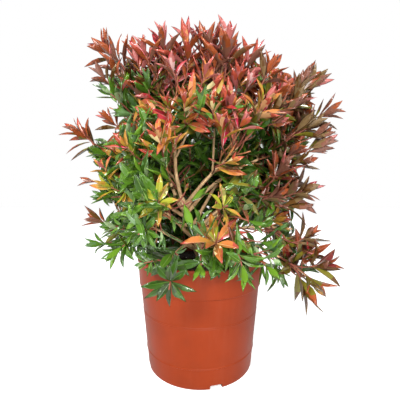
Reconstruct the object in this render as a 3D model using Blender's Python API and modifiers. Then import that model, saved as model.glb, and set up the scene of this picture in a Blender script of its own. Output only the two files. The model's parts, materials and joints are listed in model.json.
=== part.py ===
"""Potted bottlebrush, a bushy young shrub in a tapered plastic nursery pot.

Sizes are in metres, +Z is up and the side that is seen from the front faces -Y. The origin is the middle
of the pot's flat underside. A short leaning trunk stands on the soil and forks low. Each bough is one
tapering limb that ends where it enters its mass of foliage, and each mass keeps to a round space of its
own: a stem, shoots that spring from it by a seeded rule, and leaves in a spiral round each shoot.
"""
import math
import random
from typing import NamedTuple

import bmesh
import bpy
from mathutils import Matrix, Vector, noise
from mathutils.bvhtree import BVHTree

CLEARANCE = 0.0003

# Pot
POT_HEIGHT = 0.190
RIM_RADIUS = 0.110
BAND_FOOT_RADIUS = 0.1065
BAND_HEIGHT = 0.045
BAND_STEP = 0.0022
FOOT_RADIUS = 0.0915
WALL = 0.0018
FLOOR = 0.003
RIM_ROUND = 0.0016
RIM_STEPS = 3
LIP_HEIGHT = 0.0045
LIP_STEP = 0.0012
BAND_ROUND = 0.001
MOULD_LINE_HEIGHTS = (0.034, 0.099)
MOULD_LINE_DEPTH = 0.0006
MOULD_LINE_HALF_WIDTH = 0.0016
FOOT_ROUND = 0.002
POT_SEGMENTS = 30
NOTCH_WIDTH = 0.020
NOTCH_HEIGHT = 0.007
NOTCH_DEPTH = 0.022
NOTCH_OVERLAP = 0.002
NOTCH_COUNT = 4
FIRST_NOTCH_ANGLE = math.radians(16)

# Soil
SOIL_TOP = 0.172
SOIL_SEGMENTS = 28
SOIL_RINGS = 3
SOIL_FLAT_RADIUS = 0.022
SOIL_ROUGHNESS = 0.003
SOIL_LUMP = 0.022
SOIL_GAP = 0.0012
SOIL_EDGE_ROUND = 0.002

# Trunk and boughs
FORK = Vector((-0.032, -0.020, 0.2915))
TRUNK_FOOT_RADIUS = 0.0105
TRUNK_RADIUS = 0.0068
FORK_RADIUS = 0.0052
FLARE_HEIGHT = 0.016
TRUNK_POINTS = 9
FOOT_CROWDING = 1.35
TRUNK_RISE = 0.4
TRUNK_LEAN = Vector((-0.012, -0.008, 0.045))
LIMB_POINTS = 7
TRUNK_SIDES = 10
BOUGH_SIDES = 6
TWIG_SIDES = 3
SEAT_STEPS = 5
LEAVING_RISE = 0.7
LEAVING_PULL = 0.36
ARRIVING_SPREAD = 0.4
ARRIVING_LIFT = 0.25
ARRIVING_PULL = 0.34
ARCH_RISE = 0.7
ARCH_FALL = 0.85
ARCH_HEIGHT = POT_HEIGHT + 0.02
BOUGH_TAPER = 0.8
MAIN_BOUGH_RADIUS = 0.0034
SIDE_BOUGH_RADIUS = 0.0026
STEM_END_RADIUS = 0.0015
BOUGH_SHARE = 0.8
ENTRY_STEPS = 200
KNOT_ROOM = 0.4
ENTRY_MARGIN = 0.06
ENTRY_DEPTH = 0.85

# Shoots and leaves
HEART = Vector((0.0, 0.0, 0.30))
GOLDEN_ANGLE = math.pi * (3 - math.sqrt(5))
SHOOTS = 4
SHOOT_REACH = 0.50
SHOOT_SPREAD = 0.20
SHOOT_SHARES = (0.85, 1.1)
FIRST_SHOOT = 0.95
SHOOT_STRETCH = 0.75
CROWN_LIFT = 0.55
SKIRT_LIFT = 0.10
SKIRT_HEIGHT = 0.24
SHOOT_RADIUS = 0.0024
SHOOT_TIP_RADIUS = 0.0020
ROOT_SINK = 0.0005
LEAVES_PER_SHOOT = 6
FIRST_LEAF = 0.3
LAST_LEAF = 0.95
FOOT_TILT = 74
TIP_TILT = 34
TILT_SPREAD = 6
LENGTH_SHARES = (0.9, 1.1)
RETRY_SHRINK = 0.97
LEAF_LENGTH = 0.058
LEAF_WIDTH = 0.0185
LEAF_THICKNESS = 0.0026
LEAF_CORNERS = 3
LEAF_CAMBER = 0.05
LEAF_WIDEST = -0.10
LEAF_STATIONS = 9
FREE_STATIONS = 2
SPACE_MARGIN = 0.02
TOUCH_MARGIN = 0.0006
LEAF_ROOM = 0.0100
LEAF_TURNS = 12


class Mass(NamedTuple):
    """One mass of foliage: the middle and radius of its space, and where its bough leaves the parent limb."""

    name: str
    across: float
    depth: float
    height: float
    radius: float
    parent: str
    start: float

    @property
    def middle(self):
        return Vector((self.across, self.depth, self.height))


MASSES = (
    Mass("top_mid_left", -0.061, -0.009, 0.509, 0.082, "trunk", 1.0),
    Mass("top_left", -0.142, 0.019, 0.530, 0.070, "top_mid_left", 0.45),
    Mass("back_top", -0.009, 0.090, 0.480, 0.092, "top_mid_left", 0.60),
    Mass("front_top", -0.011, -0.090, 0.421, 0.084, "top_mid_left", 0.30),
    Mass("front_right", 0.056, -0.085, 0.370, 0.084, "trunk", 0.95),
    Mass("top_mid_right", 0.039, -0.019, 0.514, 0.082, "front_right", 0.55),
    Mass("top_right", 0.104, -0.037, 0.457, 0.080, "front_right", 0.75),
    Mass("front_left", -0.065, -0.088, 0.352, 0.080, "trunk", 0.90),
    Mass("left_upper", -0.123, -0.028, 0.445, 0.074, "front_left", 0.50),
    Mass("right", 0.178, 0.009, 0.393, 0.080, "trunk", 0.86),
    Mass("right_upper", 0.178, 0.033, 0.475, 0.078, "right", 0.65),
    Mass("left", -0.158, 0.000, 0.388, 0.081, "trunk", 0.82),
    Mass("back_right", 0.102, 0.102, 0.410, 0.092, "trunk", 0.90),
    Mass("back_left", -0.107, 0.097, 0.400, 0.092, "trunk", 0.60),
    Mass("back_mid", 0.000, 0.132, 0.355, 0.090, "back_right", 0.50),
    Mass("inner_right", 0.060, 0.005, 0.345, 0.080, "trunk", 0.70),
    Mass("inner_left", -0.060, 0.015, 0.340, 0.080, "trunk", 0.76),
    Mass("right_mid", 0.138, 0.000, 0.311, 0.080, "trunk", 0.58),
    Mass("left_mid", -0.128, -0.018, 0.311, 0.084, "trunk", 0.70),
    Mass("front_low_left", -0.061, -0.098, 0.275, 0.076, "trunk", 0.55),
    Mass("front_low_right", 0.032, -0.102, 0.269, 0.076, "trunk", 0.48),
    Mass("back_low_right", 0.086, 0.104, 0.275, 0.090, "trunk", 0.52),
    Mass("back_low_left", -0.077, 0.109, 0.266, 0.090, "trunk", 0.42),
    Mass("right_low", 0.165, 0.000, 0.235, 0.066, "trunk", 0.36),
    Mass("left_low", -0.132, 0.000, 0.245, 0.080, "trunk", 0.34),
    Mass("right_foot", 0.193, -0.020, 0.150, 0.064, "trunk", 0.22),
    Mass("foot_left", -0.050, -0.138, 0.192, 0.052, "trunk", 0.24),
    Mass("foot_right", 0.050, -0.130, 0.195, 0.050, "trunk", 0.20),
)
WITHOUT_BOUGH = ("inner_right", "inner_left")

PLASTIC_ROUGHNESS = 0.45
SOIL_SURFACE_ROUGHNESS = 0.95
BARK_ROUGHNESS = 0.8
LEAF_ROUGHNESS = 0.5
BARK = (0.40, 0.20, 0.09)
YOUNG_BARK = (0.45, 0.17, 0.09)
TERRACOTTA = (0.48, 0.076, 0.027)
PEAT = (0.030, 0.017, 0.010)
NEW_GROWTH = (0.42, 0.07, 0.05)
MIXED_GROWTH = (0.22, 0.14, 0.03)
GREEN_GROWTH = (0.06, 0.16, 0.04)


def clear_scene():
    """Removes whatever the scene holds."""
    for item in list(bpy.data.objects):
        bpy.data.objects.remove(item, do_unlink=True)


def new_collection(name):
    """Makes a collection in the scene."""
    group = bpy.data.collections.new(name)
    bpy.context.scene.collection.children.link(group)
    return group


def material(name, colour, roughness):
    """Makes a plain surface of one colour."""
    mat = bpy.data.materials.new(name)
    mat.use_nodes = True
    surface = mat.node_tree.nodes["Principled BSDF"]
    surface.inputs["Base Color"].default_value = (*colour, 1.0)
    surface.inputs["Roughness"].default_value = roughness
    return mat


def mesh_object(name, bm, group):
    """Puts the mesh that bm holds into a new object of the collection."""
    mesh = bpy.data.meshes.new(name)
    bm.to_mesh(mesh)
    bm.free()
    item = bpy.data.objects.new(name, mesh)
    group.objects.link(item)
    return item


# Pot and soil


def wall_radius(height):
    """The wall's outer radius at a height, under the band."""
    top = BAND_FOOT_RADIUS - BAND_STEP
    return FOOT_RADIUS + (top - FOOT_RADIUS) * height / (POT_HEIGHT - BAND_HEIGHT)


def pot_profile():
    """The pot's section, from the middle of its floor, up the inside, over the rim and down the outside."""
    band_foot = POT_HEIGHT - BAND_HEIGHT
    rim_top = POT_HEIGHT - RIM_ROUND
    points = [(0.0, FLOOR), (wall_radius(FLOOR) - WALL, FLOOR)]
    points.append((wall_radius(band_foot) - WALL, band_foot))
    points.append((RIM_RADIUS - 2 * RIM_ROUND, rim_top))
    for step in range(RIM_STEPS + 1):
        turn = math.pi * (1 - step / RIM_STEPS)
        radius = RIM_RADIUS - RIM_ROUND + RIM_ROUND * math.cos(turn)
        points.append((radius, rim_top + RIM_ROUND * math.sin(turn)))
    points.append((RIM_RADIUS - LIP_STEP, rim_top - LIP_HEIGHT))
    points.append((BAND_FOOT_RADIUS, band_foot + BAND_ROUND))
    points.append((BAND_FOOT_RADIUS - BAND_ROUND, band_foot))
    points.append((wall_radius(band_foot), band_foot - BAND_ROUND))
    for height in sorted(MOULD_LINE_HEIGHTS, reverse=True):
        points.append((wall_radius(height), height + MOULD_LINE_HALF_WIDTH))
        points.append((wall_radius(height) + MOULD_LINE_DEPTH, height))
        points.append((wall_radius(height), height - MOULD_LINE_HALF_WIDTH))
    points.append((wall_radius(FOOT_ROUND), FOOT_ROUND))
    points.append((FOOT_RADIUS - FOOT_ROUND / 3, FOOT_ROUND / 3))
    points.append((FOOT_RADIUS - FOOT_ROUND, 0.0))
    points.append((0.0, 0.0))
    return points


def turned(name, profile, group, segments):
    """Turns a profile of (radius, height) points about the Z axis."""
    mesh = bpy.data.meshes.new(name)
    vertices = [(radius, 0.0, height) for radius, height in profile]
    mesh.from_pydata(vertices, [(i, i + 1) for i in range(len(vertices) - 1)], [])
    item = bpy.data.objects.new(name, mesh)
    group.objects.link(item)
    screw = item.modifiers.new("Turn", "SCREW")
    screw.axis = "Z"
    screw.angle = 2 * math.pi
    screw.steps = segments
    screw.render_steps = segments
    screw.use_merge_vertices = True
    screw.merge_threshold = 0.00001
    return item


def notch_cutters(group):
    """Boxes that open the drainage notches in the pot's lower edge."""
    for index in range(NOTCH_COUNT):
        angle = FIRST_NOTCH_ANGLE + index * 2 * math.pi / NOTCH_COUNT
        bm = bmesh.new()
        size = Matrix.Diagonal((NOTCH_WIDTH, NOTCH_DEPTH, NOTCH_HEIGHT + NOTCH_OVERLAP, 1.0))
        place = Matrix.Translation((0.0, -FOOT_RADIUS, (NOTCH_HEIGHT - NOTCH_OVERLAP) / 2))
        bmesh.ops.create_cube(bm, size=1.0, matrix=Matrix.Rotation(angle, 4, "Z") @ place @ size)
        cutter = mesh_object(f"notch_cutter_{index + 1}", bm, group)
        cutter.hide_render = True
        cutter.display_type = "WIRE"


def make_pot(group, cutters):
    """The open plastic pot: floor, tapered wall with two moulded lines, upper band and rounded rim."""
    pot = turned("pot", pot_profile(), group, POT_SEGMENTS)
    cut = pot.modifiers.new("Notches", "BOOLEAN")
    cut.operation = "DIFFERENCE"
    cut.operand_type = "COLLECTION"
    cut.collection = cutters
    cut.solver = "EXACT"
    pot.data.materials.append(material("terracotta_plastic", TERRACOTTA, PLASTIC_ROUGHNESS))
    return pot


def make_soil(group):
    """The potting soil, which fills the pot and has a lumpy top round a flat place for the trunk."""
    band_foot = POT_HEIGHT - BAND_HEIGHT
    edge = wall_radius(SOIL_TOP) - WALL - SOIL_GAP
    bm = bmesh.new()
    profile = [(0.0, SOIL_TOP)]
    for ring in range(SOIL_RINGS):
        share = ring / SOIL_RINGS
        profile.append((SOIL_FLAT_RADIUS + (edge - SOIL_EDGE_ROUND - SOIL_FLAT_RADIUS) * share, SOIL_TOP))
    profile.append((edge, SOIL_TOP - SOIL_EDGE_ROUND))
    profile.append((wall_radius(band_foot) - WALL - SOIL_GAP, band_foot))
    profile.append((wall_radius(FLOOR) - WALL - SOIL_GAP, FLOOR + CLEARANCE))
    profile.append((0.0, FLOOR + CLEARANCE))
    vertices = [bm.verts.new((radius, 0.0, height)) for radius, height in profile]
    edges = [bm.edges.new(pair) for pair in zip(vertices, vertices[1:])]
    bmesh.ops.spin(bm, geom=vertices + edges, cent=(0, 0, 0), axis=(0, 0, 1), angle=2 * math.pi,
                   steps=SOIL_SEGMENTS, use_merge=True)
    bmesh.ops.remove_doubles(bm, verts=bm.verts, dist=0.00001)
    bmesh.ops.recalc_face_normals(bm, faces=bm.faces)
    for vertex in bm.verts:
        if vertex.co.z > SOIL_TOP - CLEARANCE and vertex.co.xy.length > SOIL_FLAT_RADIUS + CLEARANCE:
            vertex.co.z += SOIL_ROUGHNESS * noise.noise(vertex.co / SOIL_LUMP)
    soil = mesh_object("soil", bm, group)
    soil.data.materials.append(material("potting_soil", PEAT, SOIL_SURFACE_ROUGHNESS))
    return soil


# Limbs


def bezier(a, b, c, d, t):
    """A point on the cubic curve with the four control points."""
    u = 1 - t
    return a * u ** 3 + b * (3 * u * u * t) + c * (3 * u * t * t) + d * t ** 3


class Limb:
    """A tapering limb: points along its middle line, with a radius at each."""

    def __init__(self, points, radii):
        self.points = points
        self.radii = radii

    def at(self, t):
        """The point, direction and radius a share t of the way along."""
        place = min(max(t, 0.0), 1.0) * (len(self.points) - 1)
        i = min(int(place), len(self.points) - 2)
        share = place - i
        point = self.points[i].lerp(self.points[i + 1], share)
        heading = (self.points[i + 1] - self.points[i]).normalized()
        return point, heading, self.radii[i] + (self.radii[i + 1] - self.radii[i]) * share

    def gap(self, point):
        """How far a point lies from the limb's surface."""
        nearest = math.inf
        for a, b, ra, rb in zip(self.points, self.points[1:], self.radii, self.radii[1:]):
            along = b - a
            share = min(max((point - a).dot(along) / along.length_squared, 0.0), 1.0)
            nearest = min(nearest, (point - a - along * share).length - ra - (rb - ra) * share)
        return nearest


def trunk_limb():
    """The trunk, from a flat cut on the soil through its root flare to the low fork."""
    foot = Vector((0.0, 0.0, SOIL_TOP + CLEARANCE))
    rise = FORK.z - foot.z
    points = []
    radii = []
    for step in range(TRUNK_POINTS):
        t = (step / (TRUNK_POINTS - 1)) ** FOOT_CROWDING
        bend = bezier(foot, foot + Vector((0, 0, rise * TRUNK_RISE)), FORK - TRUNK_LEAN, FORK, t)
        above = max(0.0, 1 - (bend.z - foot.z) / FLARE_HEIGHT)
        radius = TRUNK_RADIUS + (FORK_RADIUS - TRUNK_RADIUS) * t
        points.append(bend)
        radii.append(radius + (TRUNK_FOOT_RADIUS - TRUNK_RADIUS) * above ** 2)
    points[1].xy = points[0].xy
    return Limb(points, radii)


def outward(mass):
    """The way a mass faces: away from the crown's heart, and a little up."""
    return ((mass.middle - HEART).normalized() + Vector((0, 0, ARRIVING_LIFT))).normalized()


def limb_to(mass, parent):
    """The whole limb of a mass, from 0.3 mm clear of its parent to the middle of its space."""
    origin, heading, thickness = parent.at(mass.start)
    main = mass.parent == "trunk"
    radius = min(MAIN_BOUGH_RADIUS if main else SIDE_BOUGH_RADIUS, thickness * BOUGH_SHARE)
    away = mass.middle - origin
    level = Vector((away.x, away.y, 0.0)).normalized()
    if mass.start >= 1.0:
        start = origin + heading * radius
        leave = heading
    else:
        side = (away - heading * away.dot(heading)).normalized()
        leave = (side + heading * LEAVING_RISE).normalized()
        start = origin + side * (thickness + radius)
    arrive = (outward(mass) + level * ARRIVING_SPREAD).normalized()
    if mass.height < ARCH_HEIGHT:
        leave = (leave + Vector((0, 0, ARCH_RISE))).normalized()
        arrive = (level - Vector((0, 0, ARCH_FALL))).normalized()
    span = (mass.middle - start).length
    leaving = start + leave * (span * LEAVING_PULL)
    arriving = mass.middle - arrive * (span * ARRIVING_PULL)
    points = []
    radii = []
    for step in range(LIMB_POINTS):
        t = step / (LIMB_POINTS - 1)
        points.append(bezier(start, leaving, arriving, mass.middle, t))
        radii.append(radius + (STEM_END_RADIUS - radius) * t ** BOUGH_TAPER)
    return Limb(points, radii)


def ring_matrix(limb, i):
    """The place of a limb's ring: at its point, square to the limb there, turned as the ring before it."""
    points = limb.points
    whole = points[-1] - points[0]
    heading = points[min(i + 1, len(points) - 1)] - points[max(i - 1, 0)]
    turn = whole.rotation_difference(heading) @ whole.to_track_quat("Z", "Y")
    return Matrix.LocRotScale(points[i], turn, Vector.Fill(3, limb.radii[i]))


def tube_mesh(limb, sides):
    """A limb as a tapering tube with flat sides and closed ends, drawn out of its foot ring by ring."""
    bm = bmesh.new()
    foot = bmesh.ops.create_circle(bm, cap_ends=True, segments=sides, radius=1.0)["verts"]
    bmesh.ops.transform(bm, matrix=ring_matrix(limb, 0), verts=foot)
    end = next(iter(bm.faces))
    for i in range(1, len(limb.points)):
        drawn = bmesh.ops.extrude_face_region(bm, geom=[end, *end.edges])["geom"]
        ring = [piece for piece in drawn if isinstance(piece, bmesh.types.BMVert)]
        end = next(piece for piece in drawn if isinstance(piece, bmesh.types.BMFace))
        back = ring_matrix(limb, i - 1).inverted()
        bmesh.ops.transform(bm, matrix=ring_matrix(limb, i) @ back, verts=ring)
    bm.normal_update()
    bmesh.ops.recalc_face_normals(bm, faces=bm.faces)
    return bm


def foot_ring(limb, sides):
    """The corners of a limb's foot, with the middles of its edges."""
    place = ring_matrix(limb, 0)
    angles = [math.pi * k / sides for k in range(2 * sides)]
    apothem = math.cos(math.pi / sides)
    reach = [1.0 if k % 2 == 0 else apothem for k in range(2 * sides)]
    return [place @ Vector((math.sin(a) * r, math.cos(a) * r, 0.0)) for a, r in zip(angles, reach)]


def seat(limb, parent, parent_sides, sides):
    """Moves a limb's foot towards its parent until its nearest corner is 0.3 mm clear of it."""
    surface = BVHTree.FromBMesh(tube_mesh(parent, parent_sides))
    for _ in range(SEAT_STEPS):
        gap = min(surface.find_nearest(corner)[3] for corner in foot_ring(limb, sides))
        nearest = surface.find_nearest(limb.points[0])[0]
        limb.points[0] += (nearest - limb.points[0]).normalized() * (gap - CLEARANCE)


def add_limb(name, limb, group, sides, colour):
    """Adds the trunk or a bough to the part."""
    item = mesh_object(name, tube_mesh(limb, sides), group)
    item.data.materials.append(material(name + "_bark", colour, BARK_ROUGHNESS))


def share_of(point, mass):
    """A point's distance from a mass's middle, as a share of the mass's radius."""
    return (point - mass.middle).length / mass.radius


def in_space(point, mass, margin=SPACE_MARGIN):
    """True where a point lies in the mass's own space: its ball, less what is nearer to another mass."""
    own = share_of(point, mass)
    if own > 1.0:
        return False
    return all(other is mass or share_of(point, other) > own + margin for other in MASSES)


def split_limb(mass, limb):
    """Splits a limb where it enters its mass: the bough before it, and the mass's stem 0.3 mm after it."""
    entry = 1.0
    for step in range(ENTRY_STEPS, 0, -1):
        point = limb.at(step / ENTRY_STEPS)[0]
        if share_of(point, mass) > ENTRY_DEPTH or not in_space(point, mass, ENTRY_MARGIN):
            break
        entry = step / ENTRY_STEPS
    if mass.name in WITHOUT_BOUGH:
        return None, limb
    cut, heading, radius = limb.at(entry)
    knots = len(limb.points) - 1
    before = math.ceil(entry * knots - KNOT_ROOM)
    after = math.floor(entry * knots + KNOT_ROOM)
    start = cut + heading * CLEARANCE
    bough = Limb(limb.points[:before] + [cut], limb.radii[:before] + [radius])
    stem = Limb([start] + limb.points[after + 1:], [radius] + limb.radii[after + 1:])
    if len(stem.points) < 2:
        stem = Limb([start, mass.middle], [radius, STEM_END_RADIUS])
    return bough, stem


# Foliage


def leaf_mesh(root, along, face, length):
    """A leaf of six faces: pointed at both ends, widest before its middle, keeled below and arched."""
    side = along.cross(face).normalized()
    up = side.cross(along).normalized()
    scale = length / LEAF_LENGTH
    bm = bmesh.new()
    bmesh.ops.create_uvsphere(bm, u_segments=LEAF_CORNERS, v_segments=2, radius=1.0)
    for vertex in bm.verts:
        x, y, z = vertex.co
        across = x / math.sin(2 * math.pi / LEAF_CORNERS) * LEAF_WIDTH * scale / 2
        rise = -y * LEAF_THICKNESS * scale * 2 / 3
        if abs(z) < 0.5:
            z = LEAF_WIDEST
            rise += LEAF_CAMBER * length
        vertex.co = root + side * across + up * rise + along * ((z + 1) * length / 2)
    bm.normal_update()
    bmesh.ops.recalc_face_normals(bm, faces=bm.faces)
    return bm


def around(axis, angle, tilt):
    """A direction tilted from an axis, turned about it by an angle."""
    frame = axis.to_track_quat("Z", "Y")
    reach = math.sin(tilt)
    return frame @ Vector((reach * math.cos(angle), reach * math.sin(angle), math.cos(tilt)))


def cap_direction(axis, index, count, spread):
    """One of count directions spread evenly over a cap round an axis, by the golden angle."""
    height = 1 - (index + 0.5) / count * (1 + spread)
    return around(axis, index * GOLDEN_ANGLE, math.acos(max(-1.0, height)))


def clear_of_pot(point, room):
    """True where a point stands clear of the pot and the soil by the given room."""
    radius = point.xy.length
    if point.z > POT_HEIGHT + room:
        return True
    if radius > RIM_RADIUS + room:
        return True
    return radius < RIM_RADIUS - 2 * RIM_ROUND - WALL - room and point.z > SOIL_TOP + SOIL_ROUGHNESS + room


def piece_fits(points, room, mass, limbs):
    """True where each point of a piece is in its mass's space and clear of the limbs and the pot."""
    for point, half in zip(points, room):
        if not in_space(point, mass) or not clear_of_pot(point, half + TOUCH_MARGIN):
            return False
        if any(limb.gap(point) < half + TOUCH_MARGIN for limb in limbs):
            return False
    return True


def leaf_fits(points, length, mass, limbs, shoots, placed):
    """Tests points along a leaf against its space, the limbs, the other shoots and the leaves so far."""
    widest = (1 + LEAF_WIDEST) / 2
    shares = [(i + 1) / LEAF_STATIONS for i in range(LEAF_STATIONS)]
    halves = [min(share / widest, (1 - share) / (1 - widest)) * LEAF_WIDTH / 2 for share in shares]
    if not piece_fits(points, [half * length / LEAF_LENGTH for half in halves], mass, limbs):
        return False
    free = points[FREE_STATIONS:]
    if any(shoot.gap(point) < LEAF_ROOM / 2 for shoot in shoots for point in free):
        return False
    return all((point - other).length > LEAF_ROOM for point in free for other in placed)


def crown_outward(point):
    """The way shoots turn at a point of the crown: away from its heart and, above the skirt, up."""
    lift = CROWN_LIFT if point.z > SKIRT_HEIGHT else SKIRT_LIFT
    return ((point - HEART).normalized() + Vector((0, 0, lift))).normalized()


def grow_shoot(mass, stem, index, rng):
    """One shoot, from the stem towards its own part of the mass's space, and the way its leaves face."""
    away = cap_direction(crown_outward(mass.middle), index, SHOOTS, SHOOT_SPREAD)
    base = stem.at(FIRST_SHOOT - SHOOT_STRETCH * index / (SHOOTS - 1))[0]
    tip = mass.middle + away * (mass.radius * SHOOT_REACH * rng.uniform(*SHOOT_SHARES))
    facing = (crown_outward(tip) + away / 2).normalized()
    return Limb([base, tip], [SHOOT_RADIUS, SHOOT_TIP_RADIUS]), facing


def grow_leaves(mass, shoot, facing, others, limbs, placed, rng):
    """The leaves of one shoot: a spiral that stands wide low down and closes to a tuft at the tip."""
    leaves = []
    turn = rng.uniform(0, 2 * math.pi)
    for index in range(LEAVES_PER_SHOOT):
        share = index / (LEAVES_PER_SHOOT - 1)
        root = shoot.at(FIRST_LEAF + (LAST_LEAF - FIRST_LEAF) * share)[0]
        tilt = FOOT_TILT + (TIP_TILT - FOOT_TILT) * share + rng.uniform(-TILT_SPREAD, TILT_SPREAD)
        length = LEAF_LENGTH * rng.uniform(*LENGTH_SHARES)
        for attempt in range(LEAF_TURNS):
            along = around(facing, turn + (index + attempt) * GOLDEN_ANGLE, math.radians(tilt))
            points = [root + along * (length * (i + 1) / LEAF_STATIONS) for i in range(LEAF_STATIONS)]
            if leaf_fits(points, length, mass, limbs, others, placed):
                leaves.append((root - along * ROOT_SINK, along, facing, length))
                placed.extend(points[FREE_STATIONS:])
                break
            length *= RETRY_SHRINK
    return leaves


def keep_largest_shell(mesh):
    """Drops loose scraps and sealed hollows, so that one closed shell is left."""
    bm = bmesh.new()
    bm.from_mesh(mesh)
    unseen = set(bm.verts)
    shells = []
    while unseen:
        queue = [unseen.pop()]
        shell = set(queue)
        while queue:
            for edge in queue.pop().link_edges:
                for vertex in edge.verts:
                    if vertex in unseen:
                        unseen.discard(vertex)
                        shell.add(vertex)
                        queue.append(vertex)
        shells.append(shell)
    shells.sort(key=len)
    for shell in shells[:-1]:
        bmesh.ops.delete(bm, geom=list(shell), context="VERTS")
    bm.to_mesh(mesh)
    bm.free()


def join_mass(body, pieces):
    """Joins the twigs and leaves of a mass to its stem by one Boolean union, and removes the pieces."""
    join = body.modifiers.new("Join", "BOOLEAN")
    join.operation = "UNION"
    join.operand_type = "COLLECTION"
    join.collection = pieces
    join.solver = "EXACT"
    bpy.context.view_layer.update()
    evaluated = body.evaluated_get(bpy.context.evaluated_depsgraph_get())
    joined = bpy.data.meshes.new_from_object(evaluated)
    body.modifiers.remove(join)
    body.data = joined
    keep_largest_shell(joined)
    for item in list(pieces.objects):
        bpy.data.objects.remove(item, do_unlink=True)
    bpy.data.collections.remove(pieces)


def foliage_colour(mass):
    """New growth is red at the top and outside of the crown, mixed at the front and green low down."""
    if mass.height > 0.44 or abs(mass.across) > 0.16:
        return NEW_GROWTH
    return MIXED_GROWTH if mass.height > 0.33 else GREEN_GROWTH


def make_mass(mass, stem, limbs, group, seed):
    """One mass of foliage as a single solid."""
    rng = random.Random(seed)
    pieces = new_collection(mass.name + "_pieces")
    body = mesh_object("foliage_" + mass.name, tube_mesh(stem, TWIG_SIDES), group)
    shoots = [grow_shoot(mass, stem, index, rng) for index in range(SHOOTS)]
    placed = []
    for shoot, facing in shoots:
        others = [other for other, _ in shoots if other is not shoot]
        leaves = grow_leaves(mass, shoot, facing, others, limbs, placed, rng)
        if not leaves:
            continue
        mesh_object("shoot", tube_mesh(shoot, TWIG_SIDES), pieces)
        for root, along, face, length in leaves:
            mesh_object("leaf", leaf_mesh(root, along, face, length), pieces)
    join_mass(body, pieces)
    body.data.materials.clear()
    body.data.materials.append(material("leaves_" + mass.name, foliage_colour(mass), LEAF_ROUGHNESS))
    return body


def main():
    """Builds the pot, the soil, the trunk, the boughs and the masses of foliage."""
    clear_scene()
    group = new_collection("potted_bottlebrush")
    cutters = new_collection("cutters")
    notch_cutters(cutters)
    make_pot(group, cutters)
    make_soil(group)

    trunk = trunk_limb()
    boughs = {}
    stems = {}
    for mass in MASSES:
        parent = boughs.get(mass.parent, trunk)
        parent_sides = TRUNK_SIDES if parent is trunk else BOUGH_SIDES
        bough, stem = split_limb(mass, limb_to(mass, parent))
        if bough:
            seat(bough, parent, parent_sides, BOUGH_SIDES)
            seat(stem, bough, BOUGH_SIDES, TWIG_SIDES)
            boughs[mass.name] = bough
        else:
            seat(stem, parent, parent_sides, TWIG_SIDES)
        stems[mass.name] = stem

    add_limb("trunk", trunk, group, TRUNK_SIDES, BARK)
    for name, bough in boughs.items():
        add_limb("bough_" + name, bough, group, BOUGH_SIDES, YOUNG_BARK)
    limbs = [trunk, *boughs.values()]
    for seed, mass in enumerate(MASSES):
        make_mass(mass, stems[mass.name], limbs, group, seed)


if __name__ == "__main__":
    main()
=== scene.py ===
"""Looks of the potted bottlebrush: pot, potting soil, bark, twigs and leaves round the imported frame.

Sizes are in metres and colours are linear. The limbs and the masses of foliage follow the rule of the
part's source, which is written again here and carried to finer twigs and smaller leaves.
"""
import functools
import json
import math
import random

import bmesh
import bpy
import numpy as np
from bpy.props import FloatProperty, FloatVectorProperty, IntProperty, PointerProperty
from mathutils import Matrix, Vector, noise

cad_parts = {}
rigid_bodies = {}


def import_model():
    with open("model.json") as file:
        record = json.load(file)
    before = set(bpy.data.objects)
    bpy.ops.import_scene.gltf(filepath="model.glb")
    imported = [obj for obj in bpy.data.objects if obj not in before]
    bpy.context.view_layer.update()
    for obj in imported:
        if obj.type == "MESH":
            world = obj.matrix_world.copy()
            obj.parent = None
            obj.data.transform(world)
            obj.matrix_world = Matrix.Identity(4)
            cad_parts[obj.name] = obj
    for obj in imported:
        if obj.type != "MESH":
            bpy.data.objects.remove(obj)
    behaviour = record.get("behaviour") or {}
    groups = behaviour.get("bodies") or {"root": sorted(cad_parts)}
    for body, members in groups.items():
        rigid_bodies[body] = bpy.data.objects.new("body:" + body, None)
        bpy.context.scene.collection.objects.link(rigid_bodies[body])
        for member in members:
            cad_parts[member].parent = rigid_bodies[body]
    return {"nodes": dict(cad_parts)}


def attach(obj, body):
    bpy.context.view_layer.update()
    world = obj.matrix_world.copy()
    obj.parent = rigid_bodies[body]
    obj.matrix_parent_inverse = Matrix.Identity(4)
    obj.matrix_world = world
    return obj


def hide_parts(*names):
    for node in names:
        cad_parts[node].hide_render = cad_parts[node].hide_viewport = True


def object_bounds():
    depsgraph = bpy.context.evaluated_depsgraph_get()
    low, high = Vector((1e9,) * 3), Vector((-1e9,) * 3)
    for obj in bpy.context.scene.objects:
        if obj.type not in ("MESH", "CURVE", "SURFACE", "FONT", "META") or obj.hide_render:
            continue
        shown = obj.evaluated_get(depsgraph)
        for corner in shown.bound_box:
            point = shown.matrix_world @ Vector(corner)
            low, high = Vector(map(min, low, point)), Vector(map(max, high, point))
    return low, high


bl_info = {
    "name": "Potted bottlebrush",
    "version": (1, 0, 0),
    "blender": (4, 5, 0),
    "location": "3D View > Sidebar > Bottlebrush",
    "description": "Builds the pot, soil, bark, twigs and leaves of a potted bottlebrush",
    "category": "Object",
}

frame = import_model()
CAD_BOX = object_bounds()
BODY = "root"

# Pot and soil, as in the source
POT_HEIGHT = 0.190
RIM_RADIUS = 0.110
BAND_FOOT_RADIUS = 0.1065
BAND_HEIGHT = 0.045
BAND_STEP = 0.0022
FOOT_RADIUS = 0.0915
WALL = 0.0018
FLOOR = 0.003
RIM_ROUND = 0.0016
MOULD_LINE_HEIGHTS = (0.034, 0.099)
NOTCH_WIDTH = 0.020
NOTCH_HEIGHT = 0.007
NOTCH_DEPTH = 0.022
NOTCH_COUNT = 4
FIRST_NOTCH_ANGLE = math.radians(16)
SOIL_TOP = 0.172
SOIL_FLAT_RADIUS = 0.022
SOIL_ROUGHNESS = 0.003
SOIL_LUMP = 0.022

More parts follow.
